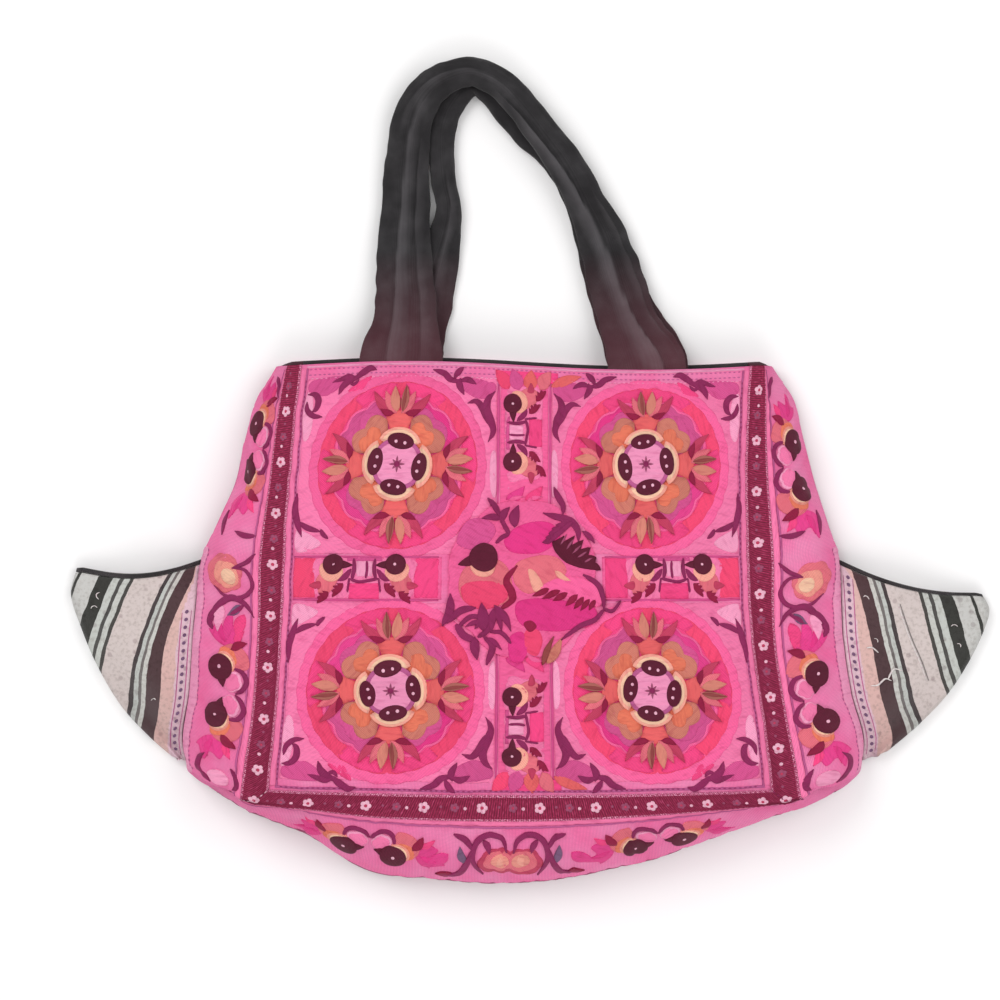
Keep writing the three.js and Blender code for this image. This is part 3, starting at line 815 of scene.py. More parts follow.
# %% Routes of the handles, in millimetres
STRAP_SECTION, STRAP_LEAST, STRAP_DOME, STRAP_SQUARENESS = 150, 3.6, 0.12, 0.6
# Columns: x, y, height of the underside, width
HANDLE_FRONT = (
    (-88, 46, 26, 58),
    (-88, 71, 19.5, 58),
    (-86, 96, 12.5, 48),
    (-85, 115, 9.5, 41),
    (-86, 138, 7.5, 39),
    (-86, 161, 6, 36),
    (-85, 185, 4.5, 33),
    (-84.5, 206, 5.5, 30.5),
    (-83, 226, 6.5, 29),
    (-79, 245, 9.5, 27),
    (-69, 260, 10.5, 25),
    (-55, 269, 10.5, 22),
    (-39, 272, 10.5, 20),
    (-20.5, 264, 10.5, 20.5),
    (-5, 248, 10.3, 22),
    (10, 228.5, 10, 23),
    (24.5, 208.5, 9.2, 25),
    (37, 185, 8, 26.5),
    (49, 159.5, 7, 33),
    (57.5, 133.5, 6.5, 38),
    (65, 108, 8.5, 40),
    (72, 89, 13, 44),
    (78.5, 71, 19.5, 54),
    (80, 46, 26, 55),
)
HANDLE_BACK = (
    (-87, 45, 4.6, 55),
    (-84.5, 80, 5, 51),
    (-79, 97, 1.4, 44),
    (-72, 116.5, 0.3, 38),
    (-64.5, 140.5, 0.3, 31),
    (-58, 164, 0.3, 22),
    (-56, 181.5, 0.3, 17),
    (-59.5, 198.5, 0.3, 17),
    (-61, 219, 0.3, 18),
    (-60, 236, 0.3, 19),
    (-53.5, 252, 0.3, 19),
    (-41, 265, 0.3, 18),
    (-28.5, 261, 0.3, 18),
    (-14, 244, 0.3, 19),
    (-1, 229.5, 0.3, 19),
    (14.5, 217, 0.3, 20.5),
    (28.5, 198.5, 0.3, 23),
    (41, 174.5, 0.3, 28),
    (51, 147, 0.3, 35),
    (60, 122, 0.3, 41),
    (70.5, 96, 1.6, 46),
    (80, 72, 4.6, 55),
    (81, 45, 4.6, 55),
)
print("points on the routes of the handles:", len(HANDLE_FRONT), "and", len(HANDLE_BACK))

# %% [markdown]
# Each fold is a flap where the cloth is doubled: it rises steeply at the fold's edge and falls slowly
# behind it. It has its own route, a table of places along the strap and across it. A simulation could
# gather the strap too, but it wouldn't put the folds where the real ones are. A flap only lifts the upper
# side, because the lower side lies on the table or on the other strap.

# %% Strap with folds
STRAP_STEPS, STRAP_SIDES = 260, 160
STRAP_CLOTH = (100, 620)
ROUTE_STEP, WELD = 1e-3, 0.01 * MM
# Routes of share along and place across from -1 to 1, widths of the steep and the slow side, height in mm
FRONT_FOLDS = (
    (((0.0, -0.32), (0.12, -0.36), (0.22, -0.2), (0.34, -0.05), (0.42, 0.2)), 0.06, 0.7, 3.2),
    (((0.02, 0.42), (0.1, 0.5), (0.24, 0.42), (0.36, 0.6)), 0.05, 0.5, 1.8),
    (((0.36, -0.5), (0.5, -0.15), (0.62, 0.1)), 0.12, 0.7, 1.8),
    (((0.58, 0.6), (0.68, 0.35), (0.8, 0.02), (0.9, -0.25), (1.0, -0.5)), 0.05, 0.8, 4.2),
    (((0.72, -0.55), (0.86, -0.72), (0.97, -0.85)), 0.06, 0.4, 1.6),
)
BACK_FOLDS = (
    (((0.05, 0.3), (0.2, 0.05), (0.34, 0.3)), 0.06, 0.7, 2.2),
    (((0.7, 0.2), (0.85, 0.4), (0.98, 0.1)), 0.06, 0.7, 2.0),
)
FOLD_FADE, FOLD_OVERRUN = 12, 0.02
DENT_HEIGHT, DENTS_ACROSS, DENTS_ALONG = 0.9, 3.0, 34.0
EDGE_WAVER, WAVER_ACROSS, WAVER_ALONG = 0.07, 2, 1.5
HIGHLIGHT_HEIGHT = 4.0


def fold_height(folds, across, along):
    """Height of all flaps at places across and along a strap."""
    height = np.zeros_like(across)
    for route, steep, slow, rise in folds:
        starts, middles = zip(*route)
        off = across - np.interp(along, starts, middles)
        fade = limit(FOLD_FADE * (np.minimum(along - starts[0], starts[-1] - along) + FOLD_OVERRUN))
        share = limit(1 - np.abs(off) / np.where(off < 0, steep, slow))
        height += rise * fade * share * share * (3 - 2 * share)
    return height


def dents(across, along):
    """Irregular dents, longer along the strap than across it: numbers from about -1 to 1."""
    places = zip(DENTS_ACROSS * across, DENTS_ALONG * along)
    return np.array([noise.noise((x, y, 0.5)) for x, y in places])


def flattened(u):
    """Places across and up round a strap, from -1 to 1, for a section between an ellipse and a box."""
    angle = -2 * np.pi * u
    return [np.sign(f) * np.abs(f) ** STRAP_SQUARENESS for f in (np.cos(angle), np.sin(angle))]


def strap_bmesh(rows, folds):
    """A strap along its route: a grid rolled into a tube and closed at its ends."""

    def relief(u, v):
        across, up = flattened(u)
        height = fold_height(folds, across, v) + DENT_HEIGHT * dents(across, v)
        return height * limit(2 * up)

    def place(u, v):
        route = smooth_path(rows, v)
        ahead, behind = np.minimum(v + ROUTE_STEP, 1), np.maximum(v - ROUTE_STEP, 0)
        tangent = unit((smooth_path(rows, ahead) - smooth_path(rows, behind))[:, :3])
        across = unit(np.cross(tangent, (0, 0, 1)))
        over = np.cross(across, tangent)
        width = route[:, 3]
        thick = np.maximum(STRAP_SECTION / width, STRAP_LEAST)
        side, up = flattened(u)
        waver = 1 + EDGE_WAVER * dents(WAVER_ACROSS * np.sign(side), WAVER_ALONG * v)
        sideways = side * waver * width / 2
        upward = ((1 + up) / 2 + STRAP_DOME * (1 - side**2)) * thick + relief(u, v)
        return route[:, :3] + across * sideways[:, None] + over * upward[:, None]

    bm = cloth_grid(STRAP_SIDES, STRAP_STEPS, place, STRAP_CLOTH)
    # The height of the folds, kept at each vertex, places a painted highlight on their crests.
    wear_and_highlight = bm.verts.layers.float.new("wear_and_highlight")
    u = np.tile(np.linspace(0, 1, STRAP_SIDES + 1), STRAP_STEPS + 1)
    v = np.repeat(np.linspace(0, 1, STRAP_STEPS + 1), STRAP_SIDES + 1)
    for vert, height in zip(bm.verts, relief(u, v)):
        vert[wear_and_highlight] = height / HIGHLIGHT_HEIGHT
    bmesh.ops.remove_doubles(bm, verts=bm.verts, dist=WELD)
    bmesh.ops.holes_fill(bm, edges=[edge for edge in bm.edges if edge.is_boundary], sides=0)
    return bm


print("folds on the straps:", len(FRONT_FOLDS), "and", len(BACK_FOLDS))

# %% [markdown]
# The black dye is lightened to grey on the crests of the folds, a painted highlight where the strap catches
# the light, and it has a reddish tone near the rim of the bag. The highlight could be painted by hand, but
# here the height of the folds is kept at each vertex and the material reads it, so the painted highlight
# always lies on the folds.

# %% Handles
FADE_START, FADE_LENGTH = 0.065, 0.085


def black_dye():
    material = cotton("black_cotton", ("#242224", "#2e2c2e", "#3a383a"), 0.9, 0.12, 0.95, 0.1, 60.0)
    tree = material.node_tree
    base = tree.nodes["Principled BSDF"].inputs["Base Color"]
    wear_and_highlight = add_node(tree, "ShaderNodeAttribute", output="Fac", attribute_name="wear_and_highlight")
    # Painted highlight: the crests of the folds are lightened to grey.
    crest_highlight = ramp(tree, wear_and_highlight, (0.1, "#000000"), (1.0, "#3a383a"))
    colour = mix_colours(tree, base.links[0].from_socket, crest_highlight, "ADD")
    height = add_node(tree, "ShaderNodeSeparateXYZ", {"Vector": object_places(tree)}, "Y")
    limits = {"Value": height, "From Min": FADE_START, "From Max": FADE_START + FADE_LENGTH}
    share = add_node(tree, "ShaderNodeMapRange", limits)
    faded = ramp(tree, share, (0.0, "#481622"), (1.0, "#000000"))
    tree.links.new(mix_colours(tree, colour, faded, "ADD"), base)
    return material


black_cotton = black_dye()
for name, rows, folds in (("front", HANDLE_FRONT, FRONT_FOLDS), ("back", HANDLE_BACK, BACK_FOLDS)):
    node = f"handle_{name}"
    strap = make_piece(f"{node}_strap", strap_bmesh(rows, folds), (black_cotton,), "handle_cotton", node)

# %% [markdown]
# ## Ribbons
# Three woven ribbons frame the square: one down each side and one along the bottom, cut to a mitre where
# they meet. Each has a dark band between two ribbed edges. They could be drawn in the material of the
# front, but their raised edges catch the light. So a ribbon is a strip of grid with a profile across it,
# laid on the swollen front.

# %% Ribbon weave
RIBBON_PROFILE = {
    "across": (-8.3, -7.7, -6.6, -5.6, -5.0, 0, 5.0, 5.6, 6.6, 7.7, 8.3),
    "lift": (0.7, 1.2, 1.45, 1.2, 0.9, 1.0, 0.9, 1.2, 1.45, 1.2, 0.7),
}
RIBBON_WALL, RIBBON_CELL = 0.6, 2
RIBBON_BAND = 5.2


def ribbon_weave():
    """Dark maroon with fine ribs; the two edges are speckled with pale threads."""
    material, tree, shader = new_material("maroon_ribbon", 0.7)
    places = map_places(tree)
    across = add_node(tree, "ShaderNodeSeparateXYZ", {"Vector": places}, "X")
    off = maths(tree, "ABSOLUTE", maths(tree, "SUBTRACT", across, RIBBON_PROFILE["across"][-1]))
    on_edge = maths(tree, "GREATER_THAN", off, RIBBON_BAND)
    speckle = blotches(tree, places, 0.9, 3.0)
    middle = ramp(tree, speckle, (0.3, "#7a1238"), (0.55, "#961f48"), (0.75, "#b8446c"))
    edge = ramp(tree, speckle, (0.3, "#9a2a58"), (0.46, "#c95684"), (0.6, "#efa2bf"))
    colour = mix_colours(tree, middle, edge, "MIX", on_edge)
    height = ribs(tree, places, 1.5, "Y", 1.5, 2.0)
    shade = ramp(tree, height, (0.0, "#b0b0b0"), (0.6, "#ffffff"))
    finish_cloth(tree, shader, mix_colours(tree, colour, shade), height, 0.3)
    return material


maroon_ribbon = ribbon_weave()
print("ribbon weave:", maroon_ribbon.name)

# %% [markdown]
# The three ribbons differ only in where they start, which way they run and how their ends are cut, so one
# table makes them all.


# %% Ribbons
def ribbon_bmesh(start, along, out, length, mitres):
    """A ribbon from a start place, along one direction; each mitre says how an end slants."""
    offsets = np.array(RIBBON_PROFILE["across"], float)
    lifts = np.array(RIBBON_PROFILE["lift"], float)
    start, along, out = (np.array(v, float) for v in (start, along, out))

    def place(u, v):
        across = np.interp(u * (len(offsets) - 1), np.arange(len(offsets)), offsets)
        lift = np.interp(across, offsets, lifts)
        distance = lerp(mitres[0] * across, length + mitres[1] * across, v)
        plan = start + along * distance[:, None] + out * across[:, None]
        return drape(np.column_stack([plan, lift])) / MM

    width = offsets[-1] - offsets[0]
    return cloth_grid(2 * (len(offsets) - 1), int(length / RIBBON_CELL), place, (width, length))


# Start, direction, outward side, length, and the slant of both ends
RIBBON_RUNS = {
    "left": ((-RIBBON_P, 0), (0, 1), (-1, 0), RIBBON_Q, (0, 1)),
    "right": ((RIBBON_P, RIBBON_Q), (0, -1), (1, 0), RIBBON_Q, (-1, 0)),
    "bottom": ((-RIBBON_P, RIBBON_Q), (1, 0), (0, 1), 2 * RIBBON_P, (-1, 1)),
}
for name, run in RIBBON_RUNS.items():
    node = f"ribbon_{name}"
    ribbon = make_piece(f"{node}_weave", ribbon_bmesh(*run), (maroon_ribbon,), "ribbon", node)
    thicken(ribbon, RIBBON_WALL)

# %% [markdown]
# ## Embroidery: from outlines to stitched patches
# The pattern is a traditional one of flowers, fruits and leaves in satin stitch. It could be drawn in a
# material, but satin stitch stands up from the cloth and has rounded edges, so every patch of thread is a
# mesh. The pattern is charted flat, in millimetres: p runs across from the centre line and q runs down from
# the mouth. Each patch is an outline with a colour, a layer and the direction of its stitches. A few kinds
# of outline make them all.

# %% Outlines
RIM_PITCH = 1.6
CURVE_STEPS = 7
LEAF_BELLY, LEAF_ROUNDNESS = 0.8, 0.9
TOOTH_ROOT, TOOTH_RISE = 0.4, 0.9
STEM_TAPER, STEM_END = 8, 0.25
CRESCENT_ROUNDNESS = 0.6
SECTOR_ROOT = 0.75


def polar(radius, degrees):
    """A place at an angle from straight up, turning clockwise; the chart's second axis points down."""
    angle = np.radians(degrees)
    return np.stack([radius * np.sin(angle), -radius * np.cos(angle)], -1)


def arc_count(radius, half, least):
    """Number of points on an arc that reaches half an angle to both sides."""
    return max(least, int(radius * math.radians(2 * half) / RIM_PITCH))


def blob(*points):
    """A smooth closed curve through a few points."""
    rows = np.array(points, float)
    t = np.arange(len(rows) * CURVE_STEPS) / CURVE_STEPS
    i = t.astype(int)
    return catmull_rom(np.vstack([rows[-1:], rows, rows[:2]]), i, (t - i)[:, None])


def band(low, high):
    """A straight strip or rectangle between two corners."""
    corners = np.array([low, (high[0], low[1]), high, (low[0], high[1])], float)
    sides = []
    for start, end in zip(corners, np.roll(corners, -1, axis=0)):
        count = max(2, int(np.linalg.norm(end - start) / (1.5 * RIM_PITCH)))
        sides.append(start + (end - start) * (np.arange(count) / count)[:, None])
    return np.vstack(sides)


def rosette(radius, bumps=0, depth=0.0, centre=(0, 0)):
    """A round patch, with scallops round its edge."""
    count = max(arc_count(radius, 180, 14), 6 * bumps)
    degrees = np.arange(count) * 360 / count
    scallops = 1 - np.abs(np.sin(np.radians(degrees * bumps / 2))) if bumps else 0
    return polar(radius - depth * scallops, degrees) + centre


def sector(inner, outer, middle, half, bumps=1, depth=0.0):
    """Part of a ring, with a bumpy outer edge that falls away to both sides."""
    count = arc_count(outer, half, 8)
    share = np.linspace(-1, 1, count)
    crown = depth * (np.abs(np.sin(0.5 * np.pi * bumps * (share + 1))) - 1) - depth * share**4
    root = np.linspace(SECTOR_ROOT, -SECTOR_ROOT, count // 2)
    inside = polar(np.full(len(root), float(inner)), middle + half * root)
    return np.vstack([polar(outer + crown, middle + half * share), inside])


def leaf(base, tip, width, bend=0.0, teeth=0):
    """A pointed leaf, widest before its middle; its spine may be bent and one side may have teeth."""
    base, tip = np.array(base, float), np.array(tip, float)
    run = tip - base
    length = np.linalg.norm(run)
    side = np.array([-run[1], run[0]]) / length
    t = np.linspace(0, 1, max(7, int(length / RIM_PITCH), 7 * teeth))
    half = 0.5 * width * np.sin(np.pi * t**LEAF_BELLY) ** LEAF_ROUNDNESS
    spine = base + run * t[:, None] + side * (bend * np.sin(np.pi * t))[:, None]
    toothed = half * (TOOTH_ROOT + TOOTH_RISE * (teeth * t % 1)) if teeth else half
    upper, lower = spine + side * half[:, None], spine - side * toothed[:, None]
    return np.vstack([upper, lower[-2:0:-1]])


def stem(points, width, swell=0.0):
    """A curved band through points, rounded at its ends; swell makes its middle wider."""
    t = np.linspace(0, 1, CURVE_STEPS * len(points))
    spine = smooth_path(points, t)
    run = unit(np.gradient(spine, axis=0))
    taper = np.clip(STEM_TAPER * np.minimum(t, 1 - t), STEM_END, 1) ** 0.5
    half = 0.5 * (width + swell * np.sin(np.pi * t)) * taper
    off = np.stack([-run[:, 1], run[:, 0]], -1) * half[:, None]
    return np.vstack([spine + off, (spine - off)[::-1]])


def crescent(centre, inner, outer, middle, half):
    """A moon round a fruit, thickest at its middle angle."""
    share = np.linspace(-1, 1, arc_count(outer, half, 9))
    thick = (outer - inner) * np.cos(0.5 * np.pi * share) ** CRESCENT_ROUNDNESS
    outside = polar(inner + thick, middle + half * share)
    inside = polar(np.full(len(share) - 2, float(inner)), middle + half * share[-2:0:-1])
    return np.vstack([outside, inside]) + centre


# %% [markdown]
# Motifs are lists of patches that can be moved, turned and mirrored as a whole, as an embroiderer repeats a
# motif from one square to the next. Finished objects could be copied instead, but a flat chart is laid on
# the cloth after all its moves, so each repeat follows the swells under it.

# %% Threads and patches
THREADS = {
    "blush": "#fd65a1",
    "petal": "#ff7fb2",
    "shell": "#ffa4ca",
    "lilac": "#f597c0",
    "pale": "#f7bcd2",
    "rose": "#fb4688",
    "coral": "#fa4876",
    "cerise": "#ee4090",
    "magenta": "#ea3488",
    "orchid": "#dc5292",
    "salmon": "#ea7080",
    "ember": "#ef6668",
    "tangerine": "#ee7c60",
    "olive": "#d27c6c",
    "apricot": "#f29a8c",
    "peach": "#ffae9c",
    "cream": "#ffceae",
    "mauve": "#c25c94",
    "hem": "#f39cc2",
    "plum": "#90205a",
    "wine": "#960f40",
    "cherry": "#c73c60",
    "clay": "#e08878",
    "umber": "#b0665c",
    "rust": "#984444",
    "seed": "#5e0a2c",
    "violet": "#7c5a7c",
    "dusk": "#a04c6e",
    "grey": "#8f8a88",
    "white": "#efe9e6",
}
FRUIT_NECK = 0.75
print("threads:", len(THREADS))


def patch(outline, thread, layer, stitch=0.0):
    """A patch of thread; stitch is the direction of its stitches in degrees."""
    return np.array(outline, float), thread, layer, stitch


def chart(*rows):
    return [patch(*row) for row in rows]


def patches_of(make, rows, *thread):
    """The same kind of patch for every row of a table."""
    return [patch(make(*row), *thread) for row in rows]


def moved(patches, at=(0, 0), turn=0.0, flip=(1, 1), size=1.0, up=0):
    """Patches scaled, mirrored by flip, turned, put in place and raised by some layers."""
    angle = math.radians(turn)
    turning = np.array([[math.cos(angle), -math.sin(angle)], [math.sin(angle), math.cos(angle)]])
    matrix = size * turning @ np.diag(flip)
    return [
        (outline @ matrix.T + np.array(at), thread, layer + up, stitch * flip[0] * flip[1] + turn)
        for outline, thread, layer, stitch in patches
    ]


def fruit(centre, radius, tail, layer):
    """A dark ball with a narrow tail."""
    tip = np.array(centre) + tail
    return chart(
        (leaf(centre, tip, FRUIT_NECK * radius), "seed", layer, 30),
        (rosette(radius, centre=centre), "seed", layer + 1, 15),
    )


def both_ways(patches, flip):
    """Patches and their mirror image."""
    return patches + moved(patches, flip=flip)


# %% [markdown]
# ### Medallion
# Each square holds a large round flower: a pale halo, red and pink rings, cloud-like lobes, two-coloured
# petals, a cream ring and a lilac heart with four dark seeds. Four buds point up, down and to the sides.
# Most of it repeats round the centre, so loops over a few angles chart it.

# %% Medallion
BUD = chart(
    (leaf((-3, -33), (-21, -46), 6.6, -2.5), "cherry", 9, 40),
    (leaf((3, -33), (19, -48), 6.6, 2.5), "cherry", 9, 140),
    (leaf((-1, -33), (-10.5, -47.5), 6.2, -1), "salmon", 10, 60),
    (leaf((2, -33), (11, -48), 6.2, 1), "salmon", 10, 120),
    (leaf((2, -34), (4.3, -51.5), 7.0, 0.5), "clay", 11, 90),
    (leaf((-2, -34), (-4, -51.5), 5.2, -0.6), "umber", 12, 90),
    (leaf((-2, -34), (-4, -51), 2.4), "rust", 13, 90),
    (leaf((-4, -33), (-15, -35.5), 4.4, -1), "wine", 11, 20),
    (leaf((4, -33), (14, -36), 4.4, 1), "wine", 11, 160),
)
SEED_DOT = chart((rosette(1.2, centre=(3.4, 0.8)), "pale", 19))
SEED = chart((rosette(10.0) * (1, 0.56), "seed", 18), *both_ways(SEED_DOT, (-1, 1)))
SEED_PLACE = {"at": (-2, -16.4), "turn": -10}
SEED_SIZE = 0.92
RAY_LONG, RAY_SHORT = 5.6, 4.53
QUARTERS = (0, 90, 180, 270)
LOBES = {45: "orchid", 135: "cerise", 225: "orchid", 315: "magenta"}
MEDALLION_P, MEDALLION_Q, MIRROR_Q = 88.0, 69.0, 143.25
FLIPS = [(x, y) for x in (1, -1) for y in (1, -1)]


def heart():
    patches = chart((rosette(17.7), "mauve", 16), (rosette(15.1, 4, 1.5), "lilac", 17))
    for turn in QUARTERS:
        patches += chart(
            (sector(14, 24.2, turn - 5, 43, 1, 1.5), "peach", 14, turn),
            (sector(14, 22.6, turn - 5, 38, 1, 1.5), "cream", 15, turn),
            *moved(moved(SEED, **SEED_PLACE), turn=turn, size=SEED_SIZE),
        )
    for turn in range(0, 360, 45):
        tip = polar(RAY_SHORT if turn % 90 else RAY_LONG, turn)
        patches += chart((leaf(polar(0.2, turn), tip, 1.6), "dusk", 18, turn))
    return patches + chart((rosette(1.9), "plum", 19))


def medallion():
    patches = chart((rosette(61.5, 30, 0.9), "blush", 0, 20), (rosette(55.0, 26, 0.7), "coral", 1, 70))
    for turn in (20, 95, 160, 200, 275, 340):
        patches += chart((sector(40, 54.6, turn, 17, 4, 0.7), "rose", 2, turn + 40))
    patches += chart((rosette(46.5, 18, 1.2), "rose", 3, 20))
    for turn, lobe in LOBES.items():
        patches += chart(
            (sector(24, 46.5, turn, 38, 3, 2.6), "blush", 4, turn),
            (sector(24, 45, turn, 36, 3, 2.6), lobe, 5, turn),
            (sector(26, 41, turn + 5, 25, 2, 2.4), "orchid", 6, turn + 30),
            (sector(17, 37, turn, 29, 2, 3.4), "olive", 7, turn),
            (sector(18, 31.5, turn + 5, 20, 2, 2.4), "tangerine", 8, turn + 50),
        )
    for turn in QUARTERS:
        patches += chart((sector(20, 35, turn, 17, 1, 1.0), "ember", 8, turn), *moved(BUD, turn=turn))
    return patches + heart()


MEDALLION = moved(medallion(), at=(MEDALLION_P, MEDALLION_Q), up=1)
print("medallion:", len(MEDALLION), "patches")


def about_middle(patches, flip):
    """Patches mirrored about the middle of the embroidered square."""
    return moved(moved(patches, at=(0, -MIRROR_Q)), at=(0, MIRROR_Q), flip=flip)


def in_each_square(patches):
    """Patches charted in the upper right square, mirrored into all four."""
    return [piece for flip in FLIPS for piece in about_middle(patches, flip)]


# %% [markdown]
# ### Leaves in the corners
# The corners of the squares are filled with purple leaves: twin leaves, sprays of three, a curl like the
# letter S and a wishbone. On the real bag the four squares differ by a few millimetres. Here they are
# charted once, for the upper right square, and mirrored, which keeps the pattern's order.

# %% Corner leaves
# Route, width at the ends and how much the middle swells
CORNER_LEAVES = (
    (((21, 19), (26, 24), (27.5, 31), (24, 39), (22.5, 46), (26, 53)), 1.0, 4.8),
    (((41, 28.5), (35, 27), (30.5, 31), (27, 38), (23.5, 43)), 1.0, 3.6),
    (((35, 15), (41, 12), (47, 13.5)), 1.0, 3.2),
    (((45, 14), (53, 12.5), (58, 8), (66, 5.5)), 1.2, 3.4),
    (((46, 11), (47, 16), (43.5, 23)), 1.0, 3.6),
    (((51, 12), (48, 7), (44, 3.5)), 1.0, 3.0),
    (((107, 5.5), (112, 4.5), (119, 9), (123, 13)), 1.0, 3.4),
    (((118, 9.5), (125, 12), (130, 16), (132.5, 22)), 1.2, 3.6),
    (((122, 11), (126, 9.5), (131, 11), (138, 13.5)), 1.0, 2.6),
    (((119, 12), (122, 15), (126, 14)), 0.8, 1.8),
    (((155, 20.5), (150, 21), (146.5, 25), (147, 31), (150, 33.5)), 1.4, 3.0),
    (((154.5, 26), (153.5, 32), (149, 36), (142.5, 37)), 1.4, 2.4),
    (((156, 87), (156.5, 97), (154, 107), (151, 116)), 1.2, 3.4),
    (((153.5, 106), (147, 110), (138, 112.5)), 1.2, 2.6),
    (((138, 111), (136.5, 114), (133, 117)), 1.4, 1.6),
)
# Coloured patches that show between the leaves
CORNER_BLOCKS = (
    (((22, 13), (44, 11), (46, 18), (34, 25), (23, 22)), "orchid"),
    (((128, 10), (152, 11), (154, 19), (140, 22)), "orchid"),
    (((110, 10), (118, 13), (126, 20), (116, 20)), "rose"),
    (((151, 22), (156, 21), (156, 48), (152, 52), (149, 40)), "shell"),
    (((138, 121), (146, 114), (155, 112), (154, 126)), "shell"),
    (((20, 60), (24, 62), (24, 84), (20, 88)), "shell"),
)
SQUARE_FILLING = chart(
    (band((20, 10), (156, 127)), "petal", 0, 12),
    *[(blob(*points), thread, 1, 50) for points, thread in CORNER_BLOCKS],
    *patches_of(stem, CORNER_LEAVES, "plum", 3, 60),
)
print("square filling:", len(SQUARE_FILLING), "patches")

# %% [markdown]
# ### Fruits between the squares
# The strips between the squares repeat a pair of dark fruits with cream crescents, red petals and toothed
# leaves. One half of a pair is charted, and its mirror image is the other half.

# %% Fruit pair of the dividers
FRUIT_GROUND = chart(
    (blob((-12.5, -28), (0, -31), (12, -28), (12.5, 0), (12, 28), (0, 31), (-12.5, 28)), "petal", 1, 20),
    (band((-12.8, -11), (-10.5, 11)), "orchid", 2, 20),
    (band((3, -9.5), (12.5, 9.5)), "rose", 2, 80),
    (band((-10.5, -5), (-1, 5)), "shell", 2),
    (stem(((-10.5, 1.4), (-5, 1.8), (0, 1.2)), 1.6), "plum", 4, 90),
    (stem(((0.4, -9), (2.2, -3), (1.4, 3), (0.2, 9)), 1.8), "plum", 4, 90),
)
FRUIT_HALF = chart(
    (blob((-4, -26), (2, -30), (9, -28), (9, -22), (5, -18), (0, -16), (-2, -21)), "salmon", 2),
    (blob((1.8, -28), (4.5, -34), (7, -28.5), (4.5, -26.5)), "cherry", 3, 90),
    (crescent((-8.5, -19.5), 5.6, 10.8, 75, 85), "peach", 3, 30),
    *fruit((-8.5, -19.5), 6.5, (0.6, 12.5), 4),
    (rosette(0.9, centre=(-8.3, -19.2)), "pale", 6),
    (leaf((8, -22), (15.5, -29), 5.4, -0.6, 4), "wine", 4, 40),
    (leaf((3, -13), (11.5, -19.5), 5.4, -0.6, 4), "wine", 4, 40),
    (stem(((1.5, -16), (-1, -11.5), (-5.5, -8)), 1.4, 2.4), "plum", 3, 50),
    (stem(((-12, -6.6), (-5, -6.2), (1, -7.4)), 1.6, 0.8), "plum", 4, 10),
    (stem(((0, -9), (4, -9.6), (8.5, -10.2)), 1.2), "plum", 4, 10),
)
FRUIT_PAIR = FRUIT_GROUND + both_ways(FRUIT_HALF, (1, -1))
# Pink and red leaves that fill the end of a strip
DIVIDER_SWIRL = chart(
    (leaf((-13, 5), (0, -4), 7, 2), "cerise", 2, 30),
    (leaf((-12, 7), (0, 3), 3, -1), "blush", 3, 10),
    (leaf((0, 5), (13, -4), 7, 2), "rose", 4, 30),
    (leaf((1, 7), (13, 3), 3, -1), "blush", 5, 10),
)
# The upper strip, with petals that fan out at the mouth
UPRIGHT_STRIP = chart(
    (band((-17, 10), (17, 96)), "blush", 0, 5),
    *moved(FRUIT_PAIR, at=(0, 46.5)),
    *moved(DIVIDER_SWIRL, at=(0, 86)),
    (band((-19.5, 4.5), (24, 12)), "rose", 1),
    (leaf((-11, 17), (-21, 4), 9.5, 0.8), "coral", 2, 70),
    (leaf((-4, 18), (-9, 3), 10, 0.4), "orchid", 3, 70),
    (leaf((4, 18), (5, 3), 10, -0.4), "ember", 2, 70),
    (leaf((11, 17), (19, 3.5), 9.5, -0.8), "salmon", 3, 70),
    (leaf((19, 14), (41, 6), 7, -0.8), "ember", 2, 70),
    (stem(((-18.6, 12), (-18.6, 50), (-18.6, 95)), 1.8), "orchid", 2, 90),
    (stem(((18.6, 12), (18.6, 50), (18.6, 95)), 1.8), "orchid", 2, 90),
)
# The strip on the right
LEVEL_STRIP = chart(
    (band((56, 129), (156, 157)), "blush", 0, 5),
    (band((58, 130), (74, 156)), "rose", 1, 60),
    (band((141, 130), (155.5, 156)), "coral", 1, 60),
    *moved(FRUIT_PAIR, at=(108, MIRROR_Q), turn=90, size=1.08),
    (stem(((58, 129), (108, 129), (156, 129)), 1.6), "orchid", 2),
    (stem(((58, 157.5), (108, 157.5), (156, 157.5)), 1.6), "orchid", 2),
)
DIVIDERS = UPRIGHT_STRIP + about_middle(UPRIGHT_STRIP, (1, -1)) + both_ways(LEVEL_STRIP, (-1, 1))
print("dividers:", len(DIVIDERS), "patches")

# %% [markdown]
# ### Centre
# Where the strips cross there is one free motif: a large fruit, a red flower, a dark wing with veins, a
# pink wing with a row of dark teeth, and branches with leaves. Nothing in it repeats, so tables hold its
# larger outlines, its stems and its leaves.

